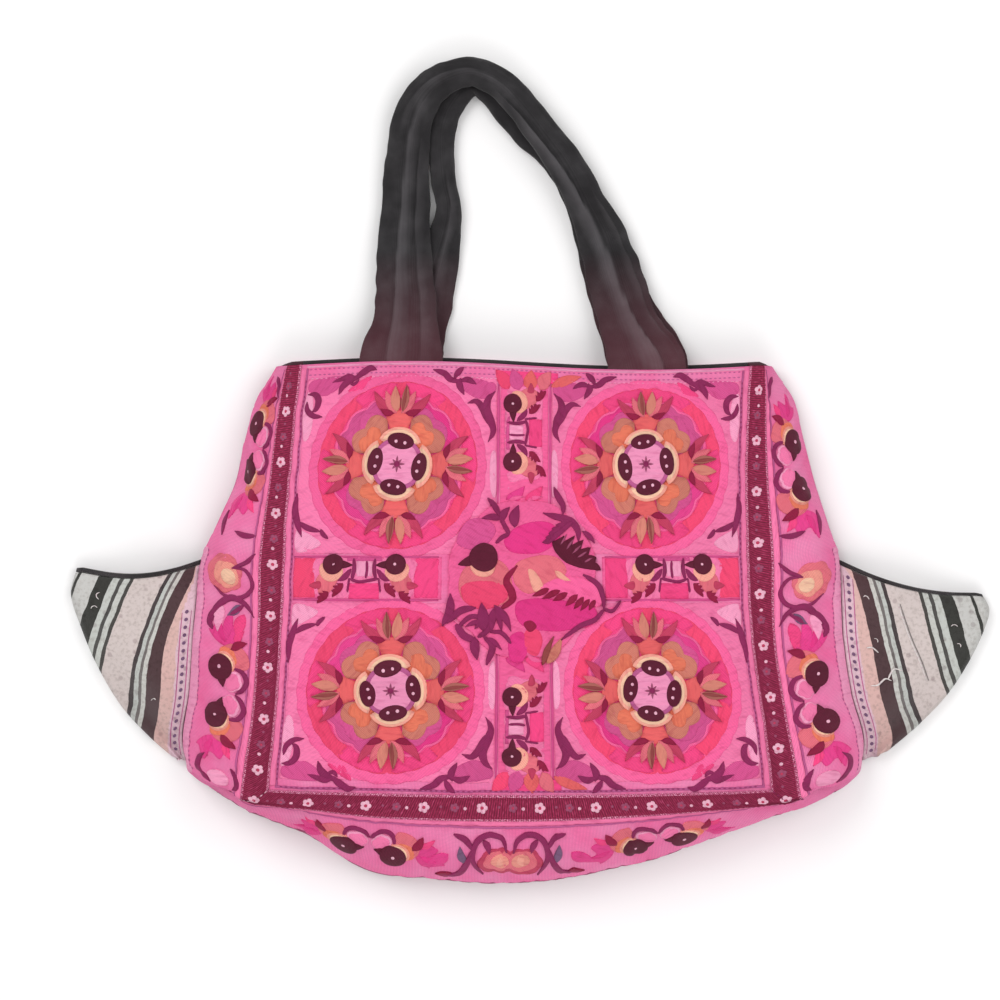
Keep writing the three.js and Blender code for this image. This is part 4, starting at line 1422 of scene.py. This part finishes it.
# %% Centre motif
# Outline, thread and layer
CENTRE_BODIES = (
    (((-14, 118), (-6, 110), (6, 106), (20, 107), (26, 116), (12, 126), (-8, 126)), "magenta", 2),
    (((-46, 120), (-40, 106), (-28, 104), (-20, 112), (-30, 124)), "orchid", 2),
    (((-44, 146), (-38, 135), (-18, 131), (-9, 142), (-11, 158), (-28, 163), (-41, 158)), "salmon", 2),
    (((-42, 148), (-28, 145), (-13, 148), (-13, 158), (-28, 164), (-40, 159)), "coral", 3),
    (((-6, 134), (10, 128), (24, 130), (30, 140), (14, 149), (2, 153), (-7, 146)), "salmon", 2),
    (((2, 138), (8, 140), (13, 150), (6, 151)), "peach", 3),
    (((-6, 160), (8, 156), (30, 158), (50, 163), (48, 174), (22, 178), (-2, 174)), "magenta", 2),
    (((9, 151), (18, 145), (34, 142), (50, 147), (56, 157), (52, 162), (40, 158), (24, 153)), "blush", 3),
    (((-10, 196), (-10, 182), (-2, 178), (2, 188), (-2, 198)), "magenta", 2),
    (((0, 190), (0, 178), (8, 176), (12, 184), (8, 194)), "coral", 2),
    (((-1, 173), (4, 171), (8, 175), (3, 178)), "wine", 3),
)
# Base, tip and width of the teeth on the pink wing
CENTRE_TEETH = (
    ((17.5, 150), (5, 154.5), 4.0),
    ((25.5, 151), (12, 156.5), 4.2),
    ((31, 152.5), (20, 158), 4.4),
    ((38, 153.5), (29, 161.5), 4.4),
    ((42.5, 155), (35, 163.5), 4.2),
    ((46.5, 156.5), (40, 165), 4.0),
    ((50.5, 157), (46, 165), 3.8),
)
# Route, width at the ends and how much the middle swells
CENTRE_STEMS = (
    (((42, 141), (52, 147), (56, 155), (57, 164)), 2.2, 1.6),
    (((56.5, 164), (63, 165), (69, 158)), 1.8, 0.4),
    (((57, 164), (50, 171), (40, 175), (26, 184)), 2.2, 1.0),
    (((13, 100), (24, 103), (34, 106), (39, 112), (39, 119)), 2.0, 2.8),
    (((22, 83), (24, 88), (28, 95), (28, 102)), 1.4, 3.0),
    (((-17, 102), (-13, 109), (-10, 114)), 2.2, 0.8),
    (((-10, 114), (-15, 116), (-20, 120)), 2.0, 0.8),
    (((-25, 168), (-25, 177), (-32, 182)), 2.6, 0.8),
    (((-46, 174), (-41, 181), (-34, 184)), 3.4, 1.4),
    (((-28, 181), (-22, 188), (-26, 200)), 2.0, 2.6),
    (((-24, 178), (-15, 179), (-9, 186)), 1.8, 1.0),
    (((-33, 163), (-43, 165), (-52, 173)), 2.0, 2.6),
    (((-29, 169), (-37, 169), (-45, 176)), 1.8, 1.4),
    (((-50, 153), (-50, 164), (-55, 175)), 1.6, 4.0),
)
# Base, tip, width and bend
CENTRE_LEAVES = (
    ((-17, 102), (-26, 90), 4.4, 0.6),
    ((-16, 104), (-30, 104), 4.4, 1.2),
    ((-16, 107), (-10, 96), 5.6, -1.6),
    ((-7, 110), (-4, 95), 7.0, -1.4),
    ((42, 112), (51, 120), 3.6, -0.8),
    ((-28, 178), (-29, 159), 8.0, 0.4),
    ((-29, 171), (-40, 175.5), 3.2, 0.4),
    ((-27, 170), (-34, 177), 3.2, 0.4),
    ((-34, 182), (-32, 197), 6.2, 0.6),
    ((-26, 182), (-15, 190), 3.4, -0.6),
    ((-20, 162), (-23, 179), 5.0, 0.8),
    ((-20, 163), (-15, 178), 4.6, -0.4),
    ((-21, 161), (-9, 178), 5.0, -2.0),
)
CENTRE_FRUIT, CENTRE_UP = (-28, 129.5), 5
# Base, tip and width of a comb of small leaves, and of the veins of the dark wing
CENTRE_COMB = (
    ((34, 107), (26, 105.5), 3.6),
    ((31, 109), (23, 108), 3.8),
    ((28.5, 111), (20, 110.5), 4.0),
    ((26, 113), (17, 113.5), 4.2),
    ((23, 115.5), (14.5, 116.5), 4.2),
    ((20, 118), (12, 119.5), 3.8),
)
CENTRE_VEINS = (
    ((26, 121), (31, 114), 1.4),
    ((30, 124), (36, 117), 1.5),
    ((34, 127), (41, 121), 1.6),
    ((38, 130), (45.5, 125), 1.6),
    ((43, 133), (49, 130), 1.5),
)
CENTRE = chart(
    (rosette(53, 8, 2.5, centre=(0, MIRROR_Q)), "blush", 1, 15),
    *[(blob(*points), thread, layer, 25) for points, thread, layer in CENTRE_BODIES],
    (crescent(CENTRE_FRUIT, 8.6, 13.0, 185, 60), "peach", 4, 40),
    *fruit(CENTRE_FRUIT, 9.6, (-17, 5), 5),
    (leaf((20, 119), (55, 138), 18, -1.5, 6), "seed", 4, 40),
    (leaf((22, 138), (33, 145), 4, 1), "peach", 4, 40),
    (stem(((-5, 135), (-12, 144), (-9, 152), (-9, 158), (-17, 164)), 2.6, 2.6), "wine", 4),
    *patches_of(leaf, CENTRE_TEETH, "wine", 5, 60),
    *patches_of(leaf, CENTRE_COMB, "plum", 5, 60),
    (stem(((35, 106), (27, 112), (17, 120)), 2.4, 1.2), "plum", 6, 60),
    *patches_of(leaf, CENTRE_VEINS, "dusk", 5, 30),
    *patches_of(stem, CENTRE_STEMS, "plum", 5, 30),
    *patches_of(leaf, CENTRE_LEAVES, "plum", 6, 45),
    (leaf((12, 200), (21, 181), 4.6, -1), "rust", 6, 30),
    (leaf((15, 199), (27, 182), 7.0, 1), "olive", 4, 30),
)
print("centre motif:", len(CENTRE), "patches")

# %% [markdown]
# ### Borders
# Outside the ribbons runs a border of fruit pairs joined by a stem like the figure 3, with a salmon swirl
# between them. The same motif turned by a quarter runs along the bottom, with a pair of curls at its centre.

# %% Border motifs
BORDER_HALF = chart(
    (blob((-9, -32), (-6, -46), (2, -43), (8, -51), (11, -42), (14, -40), (5, -32)), "cerise", 1, 70),
    (leaf((1, -34), (5, -48), 5, 1.5), "magenta", 2, 80),
    (leaf((-7, -33), (-13, -44), 5, 1.5), "rose", 2, 80),
    (blob((-17, -19), (-15, -29), (-5, -34), (4, -29), (3, -22), (-6, -17)), "salmon", 3, 30),
    (blob((-9, -21), (-6, -29), (3, -30), (4, -24), (-3, -19)), "tangerine", 4, 60),
    (leaf((-4, -29), (-15, -36), 6, 1), "wine", 5, 20),
    (crescent((2.5, -16.5), 8.0, 11.8, -40, 65), "apricot", 5, 40),
    (crescent((2.5, -16.5), 7.8, 10.2, -45, 50), "cream", 6, 40),
    *fruit((2.5, -16.5), 8.8, (-3.4, 13), 7),
    (rosette(1.2, centre=(3, -16.5)), "pale", 9),
    (rosette(7.6, 5, 1.0, centre=(-6.5, -8.5)), "shell", 2, 60),
    (rosette(6.4, 5, 1.0, centre=(-6, -8)), "petal", 3, 60),
    (stem(((-6, -17.5), (-13, -16), (-16.5, -10), (-14, -4), (-9.5, -0.4)), 1.8, 1.6), "plum", 4, 45),
)
BORDER_UNIT = both_ways(BORDER_HALF, (1, -1))
SWIRL_CURLS = (
    (((-4, -5), (-13, -5), (-18, 3), (-15, 11), (-7, 15), (3, 14.5), (12, 9)), 1.6, 1.0),
    (((-19, -17), (-13, -10), (-4, -5)), 1.4, 1.2),
    (((-19, 26), (-13, 18), (-3, 15.5), (7, 22), (14, 31), (15, 37)), 1.4, 3.0),
    (((10, 30), (14, 34), (11, 39)), 1.6, 2.6),
    (((-12, 18.5), (-6, 24), (-2, 27)), 1.2, 1.6),
)
BORDER_SWIRL = chart(
    (rosette(14, 7, 1.4, centre=(3, -1)), "salmon", 1, 30),
    (rosette(9.6, 5, 1.0, centre=(1, 0)), "apricot", 2, 60),
    (rosette(5.4, centre=(-1, 1)), "cream", 3, 20),
    *patches_of(stem, SWIRL_CURLS, "plum", 4, 45),
    (leaf((-9, 19), (0, 28), 5, 1), "violet", 3, 60),
    (leaf((-12, 25), (-8, 42), 8, -1), "rose", 2, 30),
    (leaf((-3, 26), (0, 46), 7, -1), "cerise", 2, 30),
    (leaf((3, 22), (7, 40), 8, -2), "shell", 3, 20),
)
CURLS_HALF = chart(
    (rosette(12.5, 6, 1.2, centre=(8, 3)), "cherry", 1, 30),
    (rosette(9.6, 5, 0.8, centre=(7.4, 2)), "salmon", 2, 60),
    (rosette(5.8, centre=(6.5, 1)), "apricot", 3, 20),
    (leaf((5, -3), (8, 6), 5), "peach", 4, 20),
    (stem(((2, -6), (5, -15), (13, -18.5), (21, -13), (23, 0), (17, 15)), 1.8, 1.8), "plum", 5, 40),
    (leaf((17, -15), (13, -5), 4.0, 1), "plum", 4, 40),
    (stem(((23, -8), (28, -15), (35, -18)), 1.4, 2.4), "plum", 5, 60),
    (stem(((23, -10), (27, 4), (33, 15), (45, 17)), 1.6, 2.4), "plum", 5, 30),
    (leaf((27, 4), (31, -10), 5, 1.2), "violet", 3, 30),
    (leaf((36, 14), (46, 17), 5.5, 1), "wine", 5, 30),
    (leaf((38, -4), (52, 6), 9, 1), "cerise", 2, 30),
)
BOTTOM_CURLS = both_ways(CURLS_HALF, (-1, 1))
print("border motifs:", len(BORDER_UNIT + BORDER_SWIRL + BOTTOM_CURLS), "patches")

# %% [markdown]
# Beside the ribbons lie narrow folds of pink cloth; the mauve strip along the edge of each fold is painted
# shade. A pale hem covers the side seams, and a dusky cord follows the bottom seam. They could be pressed
# into the front, but its grid is too coarse for lines of a millimetre, so they are long thin patches like
# the rest.

# %% Borders
BORDER_P, BOTTOM_Q = 200.0, 327.0
# How far down the upper fruit pair, the swirl and the lower fruit pair lie on the left and on the right
BORDER_PLACES = {-1: (58, 146, 226), 1: (71, 152, 231)}
BOTTOM_PAIRS, BOTTOM_PAIR_SIZE, BOTTOM_CENTRE = (-96, 84), 0.92, (-9, BOTTOM_Q + 1)
CORNER_TWIGS = (
    (((187, 277), (183, 282), (182, 288), (185, 292)), 1.2, 3.0),
    (((206, 271), (212, 277), (212, 284), (207, 289), (200, 291)), 1.2, 3.4),
    (((184, 22), (187, 13), (194, 8)), 1.2, 3.2),
    (((182, 117), (190, 118), (198, 116)), 1.2, 2.6),
    (((209, 120), (211, 111), (211, 103)), 1.2, 2.6),
)
CORNER_PETAL = ((188, 284), (194, 281), (201, 283), (203, 288), (196, 291), (189, 290))
# The mauve strips are painted shade along the edges of the folds.
# From, to and thread of the strips beside the right ribbon and beside the bottom ribbon
SIDE_STRIPS = (
    (156.8, 158.0, "mauve"),
    (158.2, 162.0, "petal"),
    (178.4, 182.0, "petal"),
    (182.4, 183.5, "mauve"),
)
BOTTOM_STRIPS = (
    (281.4, 283.0, "mauve"),
    (301.0, 304.0, "petal"),
    (304.4, 305.6, "mauve"),
)
SIDE_STRIP_TOP, SIDE_OVERLAP, BOTTOM_OVERLAP = 3, 11, 12


def ribbon_folds():
    """Strips beside the ribbons and along the seams and the rim."""
    patches = chart((band((221.5, 130), (229.6, 292)), "hem", 1))
    for start, end, thread in SIDE_STRIPS:
        foot = RIBBON_Q + math.copysign(SIDE_OVERLAP, start - RIBBON_P)
        patches += chart((band((start, SIDE_STRIP_TOP), (end, foot)), thread, 2, 90))
    patches = both_ways(patches, (-1, 1))
    for start, end, thread in BOTTOM_STRIPS:
        reach = RIBBON_P + math.copysign(BOTTOM_OVERLAP, start - RIBBON_Q)
        patches += chart((band((-reach, start), (reach, end)), thread, 2))
    seam_cord = (band((-226, 361.5), (226, 365.5)), "dusk", 1)
    rim = (band((-158, 1.2), (158, 2.6)), "hem", 1)
    return patches + chart(seam_cord, rim)


def side_motifs(upper, swirl, lower):
    """Everything on the right border, with its motifs at the three places given."""
    return chart(
        *moved(BORDER_UNIT, at=(BORDER_P, upper)),
        *moved(BORDER_UNIT, at=(BORDER_P, lower)),
        *moved(BORDER_SWIRL, at=(BORDER_P, swirl)),
        (blob(*CORNER_PETAL), "shell", 2, 20),
        *patches_of(stem, CORNER_TWIGS, "plum", 3, 30),
    )


BORDERS = []
for side, places in BORDER_PLACES.items():
    BORDERS += moved(side_motifs(*places), flip=(side, 1))
for p in BOTTOM_PAIRS:
    BORDERS += moved(BORDER_UNIT, at=(p, BOTTOM_Q), turn=90, size=BOTTOM_PAIR_SIZE)
BORDERS += moved(BOTTOM_CURLS, at=BOTTOM_CENTRE) + ribbon_folds()
print("borders:", len(BORDERS), "patches")

# %% [markdown]
# ### Flowers on the ribbons
# White flowers with five petals stand along the ribbons, with dots and a fainter flower between them. Each
# ribbon runs in its own direction round the square, and a flower stands on each mitre. One repeat is
# charted and set down at equal steps. An Array modifier could do that, but it wouldn't bend each flower to
# the cloth under it.

# %% Ribbon flowers
FLOWER_PITCH = 34.3
# Start, step from flower to flower, count and turn of the row on each ribbon
FLOWER_ROWS = (
    ((-RIBBON_P, 31.5), (0, FLOWER_PITCH), 8, 180),
    ((RIBBON_P, 17.0), (0, FLOWER_PITCH), 8, 0),
    ((-136, RIBBON_Q), (36.4, 0), 9, 90),
)
RIBBON_LAYER = 5
PETALS, PETAL_SIZE, PETAL_REACH, FLOWER_HEART = 5, 0.45, 0.6, 0.3


def flower(radius, thread):
    """Five round petals about a red heart."""
    places = [polar(radius * PETAL_REACH, 360 * k / PETALS) for k in range(PETALS)]
    petals = [(radius * PETAL_SIZE, 0, 0.0, place) for place in places]
    middle = (rosette(radius * FLOWER_HEART), "cherry", RIBBON_LAYER + 1)
    return chart(*patches_of(rosette, petals, thread, RIBBON_LAYER), middle)


FLOWER_REPEAT = chart(
    *flower(3.5, "pale"),
    (rosette(1.1, centre=(0.5, 0.31 * FLOWER_PITCH)), "pale", RIBBON_LAYER),
    *moved(flower(2.8, "dusk"), at=(0, 0.5 * FLOWER_PITCH)),
    (rosette(0.9, centre=(-0.5, 0.75 * FLOWER_PITCH)), "dusk", RIBBON_LAYER),
)
RIBBON_FLOWERS = []
for start, step, count, turn in FLOWER_ROWS:
    for i in range(count):
        RIBBON_FLOWERS += moved(FLOWER_REPEAT, at=np.array(start) + i * np.array(step), turn=turn)
for corner in (-RIBBON_P, RIBBON_P):
    RIBBON_FLOWERS += moved(flower(3.5, "pale"), at=(corner, RIBBON_Q))
print("ribbon flowers:", len(RIBBON_FLOWERS), "patches")

# %% [markdown]
# A patch could be one face with many corners, but such a face can't bend, and it would dip below the
# swollen cloth. So a patch is filled with triangles by a Delaunay triangulation: the points of its outline,
# a ring just inside them and a lattice in the middle. The lattice is the same for all patches, so that
# patches in layers bend alike and none breaks through another. The ring stands higher than the outline, so
# that the satin edge is rounded, and a short skirt closes the patch down to the cloth.

# %% Filling a patch
SATIN_EDGE, SATIN_RISE, NARROW_EDGE = 0.7, 0.15, 0.8
RING_LEAST, LATTICE_LEAST = 0.9, 2.2
LAYER_BASE, LAYER_STEP = 0.12, 0.19
FILL_PITCH = 3.2
FILL_ROW = FILL_PITCH * math.sqrt(0.75)


def distance_to_outline(outline, points):
    run = np.roll(outline, -1, axis=0) - outline
    away = points[:, None] - outline
    share = limit((away * run).sum(-1) / np.maximum((run * run).sum(-1), TINY))
    return np.linalg.norm(away - share[..., None] * run, axis=-1).min(1)


def is_inside(outline, points):
    after = np.roll(outline, -1, axis=0)
    crosses = (outline[:, 1] > points[:, 1:]) != (after[:, 1] > points[:, 1:])
    rise = np.where(after[:, 1] == outline[:, 1], TINY, after[:, 1] - outline[:, 1])
    at = outline[:, 0] + (points[:, 1:] - outline[:, 1]) * (after[:, 0] - outline[:, 0]) / rise
    return (crosses & (points[:, :1] < at)).sum(1) % 2 == 1


def satin_edge(outline):
    """Width of the rounded edge: less on narrow patches."""
    after = np.roll(outline, -1, axis=0)
    area = 0.5 * abs((outline[:, 0] * after[:, 1] - outline[:, 1] * after[:, 0]).sum())
    return min(SATIN_EDGE, NARROW_EDGE * area / np.linalg.norm(after - outline, axis=1).sum())


def inner_points(outline, edge):
    """A ring just inside an outline, and the points of the common lattice further in."""
    run = np.roll(outline, -1, axis=0) - np.roll(outline, 1, axis=0)
    normal = np.stack([-run[:, 1], run[:, 0]], -1)
    normal /= np.maximum(np.linalg.norm(run, axis=1, keepdims=True), TINY)
    low, high = outline.min(0), outline.max(0)
    rows = range(math.ceil(low[1] / FILL_ROW), math.floor(high[1] / FILL_ROW) + 1)
    columns = range(math.floor(low[0] / FILL_PITCH), math.ceil(high[0] / FILL_PITCH) + 1)
    lattice = [(FILL_PITCH * (i + 0.5 * (j % 2)), FILL_ROW * j) for j in rows for i in columns]
    rings = np.vstack([outline + normal * edge, outline - normal * edge])
    found = []
    for points, least in ((rings, RING_LEAST), (lattice, LATTICE_LEAST)):
        points = np.array(points).reshape(-1, 2)
        points = points[is_inside(outline, points)]
        found.append(points[distance_to_outline(outline, points) > least * edge])
    return np.vstack(found)


def fill(outline):
    """Flat points, heights from 0 to 1 and triangles of a patch."""
    edge = satin_edge(outline)
    points = np.vstack([outline, inner_points(outline, edge)])
    count = len(outline)
    rim = [(i, (i + 1) % count) for i in range(count)]
    made = delaunay_2d_cdt([Vector(p) for p in points], rim, [], 1, 1e-4)
    flat = np.array([v[:] for v in made[0]])
    inward = limit(distance_to_outline(outline, flat) / edge)
    return flat, np.sqrt(1 - (1 - inward) ** 2), made[2]


# %% [markdown]
# Satin stitch lies in fine ridges, thread beside thread. As meshes they would be millions of faces, so the
# material draws them as waves across the direction that the patch was stitched in. It takes its colour from
# the patch.


# %% Satin thread
def satin_thread():
    material, tree, shader = new_material("satin_thread", 0.6)
    thread = add_node(tree, "ShaderNodeAttribute", output="Color", attribute_name="thread")
    stitch = add_node(tree, "ShaderNodeAttribute", output="Vector", attribute_name="stitch")
    height = ribs(tree, stitch, 0.8, "Y", 2.5, 2.0, 0.6)
    shade = ramp(tree, height, (0.0, "#cfcfcf"), (0.55, "#ffffff"))
    stretched = add_node(tree, "ShaderNodeMapping", {"Vector": stitch, "Scale": (0.1, 0.4, 1.0)})
    streaks = blotches(tree, stretched, 1.0, 2.0)
    dye = ramp(tree, streaks, (0.3, "#eedbe4"), (0.5, "#ffffff"), (0.72, "#fff5f8"))
    colour = mix_colours(tree, mix_colours(tree, thread, shade), dye)
    finish_cloth(tree, shader, colour, height, 0.2)
    return material


satin = satin_thread()
print("embroidery thread:", satin.name)

# %% [markdown]
# All patches of a group become one mesh, because thousands of small objects would be slow to work with. Each
# vertex keeps the colour of its thread and its place along and across the stitches. Every patch has a
# slightly different shade, and a tiny step in height keeps patches of one layer apart.

# %% Sewing patches on
THREAD_VARIETY = 0.06
SKIRT_DEPTH = -0.1
LIFT_STAGGER, STAGGER_COUNT = 0.01, 4


def skirt_faces(triangles, lower):
    """Quads from the rim of a patch down to the copies of its points; lower is the first copy's number."""
    edges = {(t[k], t[(k + 1) % 3]) for t in triangles for k in range(3)}
    return [(b, a, lower + a, lower + b) for a, b in edges if (b, a) not in edges]


def stitch_places(flat, degrees):
    """Places along and across the stitches of a patch."""
    angle = math.radians(degrees)
    along = flat @ np.array((math.cos(angle), math.sin(angle)))
    across = flat @ np.array((-math.sin(angle), math.cos(angle)))
    return np.column_stack([along, across, 0 * along])


def sewn_piece(name, places, faces, colours, stitches, slot):
    """A joined mesh that carries a thread colour and a stitch place at each vertex."""
    mesh = bpy.data.meshes.new(name)
    mesh.from_pydata(places, [], faces)
    mesh.attributes.new("thread", "FLOAT_COLOR", "POINT").data.foreach_set("color", colours.ravel())
    mesh.attributes.new("stitch", "FLOAT_VECTOR", "POINT").data.foreach_set("vector", stitches.ravel())
    bm = bmesh.new()
    bm.from_mesh(mesh)
    bpy.data.meshes.remove(mesh)
    loose = [vert for vert in bm.verts if not vert.link_faces]
    bmesh.ops.delete(bm, geom=loose, context="VERTS")
    return make_piece(name, bm, (satin,), slot)


def sew(name, patches, slot, lay=drape):
    """All patches of a group as one mesh, laid on the cloth."""
    pick = random.Random(name)
    places, colours, stitches, faces = [], [], [], []
    start = 0
    for number, (outline, thread, layer, degrees) in enumerate(patches):
        flat, height, triangles = fill(outline)
        count = len(flat)
        lift = LAYER_BASE + LAYER_STEP * layer + LIFT_STAGGER * (number % STAGGER_COUNT)
        places.append(np.column_stack([flat, lift + SATIN_RISE * height]))
        places.append(np.column_stack([flat, np.full(count, SKIRT_DEPTH)]))
        triangles = [tuple(start + i for i in reversed(t)) for t in triangles]
        faces += triangles + skirt_faces(triangles, count)
        shade = np.array(linear(THREADS[thread])) * pick.uniform(1 - THREAD_VARIETY, 1 + THREAD_VARIETY)
        colours.append(np.tile(shade, (2 * count, 1)))
        stitches.append(np.tile(stitch_places(flat, degrees), (2, 1)))
        start += 2 * count
    return sewn_piece(name, lay(np.vstack(places)), faces, np.vstack(colours), np.vstack(stitches), slot)


sew("square_leaves_embroidery", in_each_square(SQUARE_FILLING), ON_FRONT)
sew("medallions_embroidery", in_each_square(MEDALLION), ON_FRONT)
sew("dividers_embroidery", DIVIDERS, ON_FRONT)
sew("centre_embroidery", moved(CENTRE, up=CENTRE_UP), ON_FRONT)
sew("borders_embroidery", BORDERS, ON_FRONT)
sew("ribbon_flowers_embroidery", RIBBON_FLOWERS, "ribbon")

# %% [markdown]
# ### Running stitches
# Lines of small stitches hold the rim, the ribbons, the squares and the hems. A stitch could be a short
# curve with a bevel, but there are more than a thousand of them. So each is a little grain with six
# corners, repeated along a line.

# %% Running stitches
STITCH_PITCH, STITCH_SIZE = 3.4, (2.5, 0.9, 0.5)
# Corners of a stitch: shares of its length, width and height
STITCH_CORNERS = np.array(
    [(-0.5, 0, 0), (0.5, 0, 0), (0, 0.5, 0), (0, -0.5, 0), (-0.2, 0, 1), (0.2, 0, 1)], float
)
STITCH_FACES = ((2, 4, 0), (2, 5, 4), (2, 1, 5), (4, 3, 0), (4, 5, 3), (5, 1, 3))
EDGE = RIBBON_PROFILE["across"][-1] - 1.0
MITRE = 9
RIBBON_IN, RIBBON_OUT = RIBBON_P - EDGE, RIBBON_P + EDGE
FOOT_IN, FOOT_OUT = RIBBON_Q - EDGE, RIBBON_Q + EDGE
# Level lines across the centre: half length, distance down, lift and thread
LEVEL_LINES = (
    (160, 3.6, 0.1, "mauve"),
    (160, 7.4, 0.1, "mauve"),
    (156, 282, 0.6, "plum"),
    (RIBBON_P, FOOT_IN, 1.1, "wine"),
    (RIBBON_P, FOOT_OUT, 1.1, "wine"),
)
# Lines that both sides have: from, to, lift and the threads on the left and on the right
SIDE_LINES = (
    ((157.4, 10), (157.4, 281), 0.6, ("plum", "plum")),
    ((19, 10), (156, 10), 0.2, ("hem", "hem")),
    ((RIBBON_IN, 2), (RIBBON_IN, FOOT_IN), 1.1, ("wine", "wine")),
    ((RIBBON_OUT, 2), (RIBBON_OUT, FOOT_OUT), 1.1, ("wine", "wine")),
    ((RIBBON_P + MITRE, RIBBON_Q + MITRE), (RIBBON_P - MITRE, RIBBON_Q - MITRE), 1.3, ("pale", "plum")),
    ((221, 130), (221, 292), 0.1, ("mauve", "mauve")),
)


def running_stitches(lines):
    places, colours, stitches, faces = [], [], [], []
    corners = STITCH_CORNERS * STITCH_SIZE
    for start, end, lift, thread in lines:
        length = np.linalg.norm(np.subtract(end, start))
        along = np.subtract(end, start) / length
        across = np.array([-along[1], along[0]])
        for k in range(int(length / STITCH_PITCH)):
            centre = start + along * STITCH_PITCH * (k + 0.5)
            flat = centre + corners[:, :1] * along + corners[:, 1:2] * across
            faces += [tuple(len(corners) * len(places) + i for i in face) for face in STITCH_FACES]
            places.append(np.column_stack([flat, lift + corners[:, 2]]))
            colours.append(np.tile(linear(THREADS[thread]), (len(corners), 1)))
            stitches.append(np.column_stack([flat, np.zeros(len(corners))]))
    places = drape(np.vstack(places))
    sewn_piece("running_stitches", places, faces, np.vstack(colours), np.vstack(stitches), ON_FRONT)


stitch_lines = [((-half, q), (half, q), lift, thread) for half, q, lift, thread in LEVEL_LINES]
for start, end, lift, threads in SIDE_LINES:
    for side, thread in zip((-1, 1), threads):
        stitch_lines.append(((side * start[0], start[1]), (side * end[0], end[1]), lift, thread))
running_stitches(stitch_lines)

# %% [markdown]
# ### Tape and curls on the wings
# A row of violet dots between two lines follows the seam on the pale tape, and short white curves lie on the
# dark stripes. The right wing also has a few loose threads, and a crease drawn as a white line of painted
# highlight beside a grey line of painted shade. They could be part of the batik material, but raised threads
# also show from a low angle. The wings are charted as the front is, by the distance from the seam and the
# distance down from the hem.

# %% Details on the wings
DOT_PITCH, DOT_FROM_SEAM, DOT_RADIUS = 5.3, 6.2, 1.2
FIRST_DOT, LAST_DOT_GAP = {-1: 34, 1: 10}, 6
# The two lines beside the dots: distances from the seam, a place between their ends, gap at the foot, width
TAPE_LINES, TAPE_LINE_MIDDLE, TAPE_LINE_GAP, TAPE_LINE_WIDTH = (3.0, 9.4), 75, 4, 0.5
CURL, CURL_WIDTH = ((-3.2, 1.8), (-2, -0.6), (0.6, -1.2), (3.2, 0.4)), 0.8
BROWN_STRIPE, BLACK_STRIPE = 25.5, 87.0
# Stripe, distance down from the hem, turn and size of each curl
CURLS = {
    -1: (
        (BLACK_STRIPE, 18, 100, 0.8),
        (BLACK_STRIPE, 27, 30, 0.7),
        (BROWN_STRIPE, 90, 20, 0.5),
    ),
    1: (
        (BROWN_STRIPE, 20, 20, 0.6),
        (BROWN_STRIPE, 50, 60, 0.5),
        (BLACK_STRIPE, 34, 20, 0.7),
        (BLACK_STRIPE, 52, 70, 0.6),
    ),
}
# Routes and width of the loose threads
LOOSE_THREADS = (
    (((16, 57), (20, 56), (24, 59)), 0.9),
    (((15, 84), (20, 83), (26, 78), (30, 79)), 0.9),
    (((28, 78), (31, 73), (34, 70), (39, 71)), 0.9),
)
CREASE_SHADING = ((40, 18), (46, 40), (52, 62), (55, 80))
SLANT_STEPS = 6


def wing_lay(side):
    """A function that lays places on the upper leaf of a wing; on the left, distances are negative."""

    def surface(distance, down):
        along = limit(down / WING_LENGTH)
        _, flat_end = gusset_surface(side, along, np.full_like(along, UPPER_LEAF))
        around = UPPER_LEAF * limit((distance - SEAM_GAP) / (flat_end - SEAM_GAP))
        return wrinkled(gusset_surface(side, along, around)[0], around, along)

    def lay(flat):
        distance, down = side * flat[:, 0], flat[:, 1]
        out = surface(distance + 0.5, down) - surface(distance - 0.5, down)
        along = surface(distance, down + 0.5) - surface(distance, down - 0.5)
        normal = unit(side * np.cross(along, out))
        return (surface(distance, down) + normal * flat[:, 2:]) * MM

    return lay


def stripe_distance(side, stripe, down):
    """Distance from the seam at which a stripe lies; the slant depends on it, so it is found in steps."""
    distance = stripe
    for _ in range(SLANT_STEPS):
        distance = stripe - stripe_shift(side, down / WING_LENGTH, distance)
    return float(distance)


def wing_patches(side):
    rows = np.arange(FIRST_DOT[side], WING_LENGTH - LAST_DOT_GAP, DOT_PITCH)
    dots = [(DOT_RADIUS, 0, 0.0, (DOT_FROM_SEAM, row)) for row in rows]
    downs = (rows[0], TAPE_LINE_MIDDLE, WING_LENGTH - TAPE_LINE_GAP)
    lines = [([(x, down) for down in downs], TAPE_LINE_WIDTH) for x in TAPE_LINES]
    patches = patches_of(rosette, dots, "violet", 2) + patches_of(stem, lines, "mauve", 1, 90)
    for stripe, down, turn, size in CURLS[side]:
        place = (stripe_distance(side, stripe, down), down)
        patches += moved(chart((stem(CURL, CURL_WIDTH), "white", 2)), at=place, turn=turn, size=size)
    if side > 0:
        patches += patches_of(stem, LOOSE_THREADS, "white", 4)
        # The crease is painted light: a white line of painted highlight with a grey line of painted shade
        # beside it.
        patches += chart((stem(CREASE_SHADING, 0.8), "white", 2))
        patches += moved(chart((stem(CREASE_SHADING, 0.7), "grey", 1)), at=(1.6, 0))
    return patches


for side, name in SIDES.items():
    sewn_on = moved(wing_patches(side), flip=(side, 1))
    sew(f"gusset_{name}_details", sewn_on, "batik_cloth", wing_lay(side))
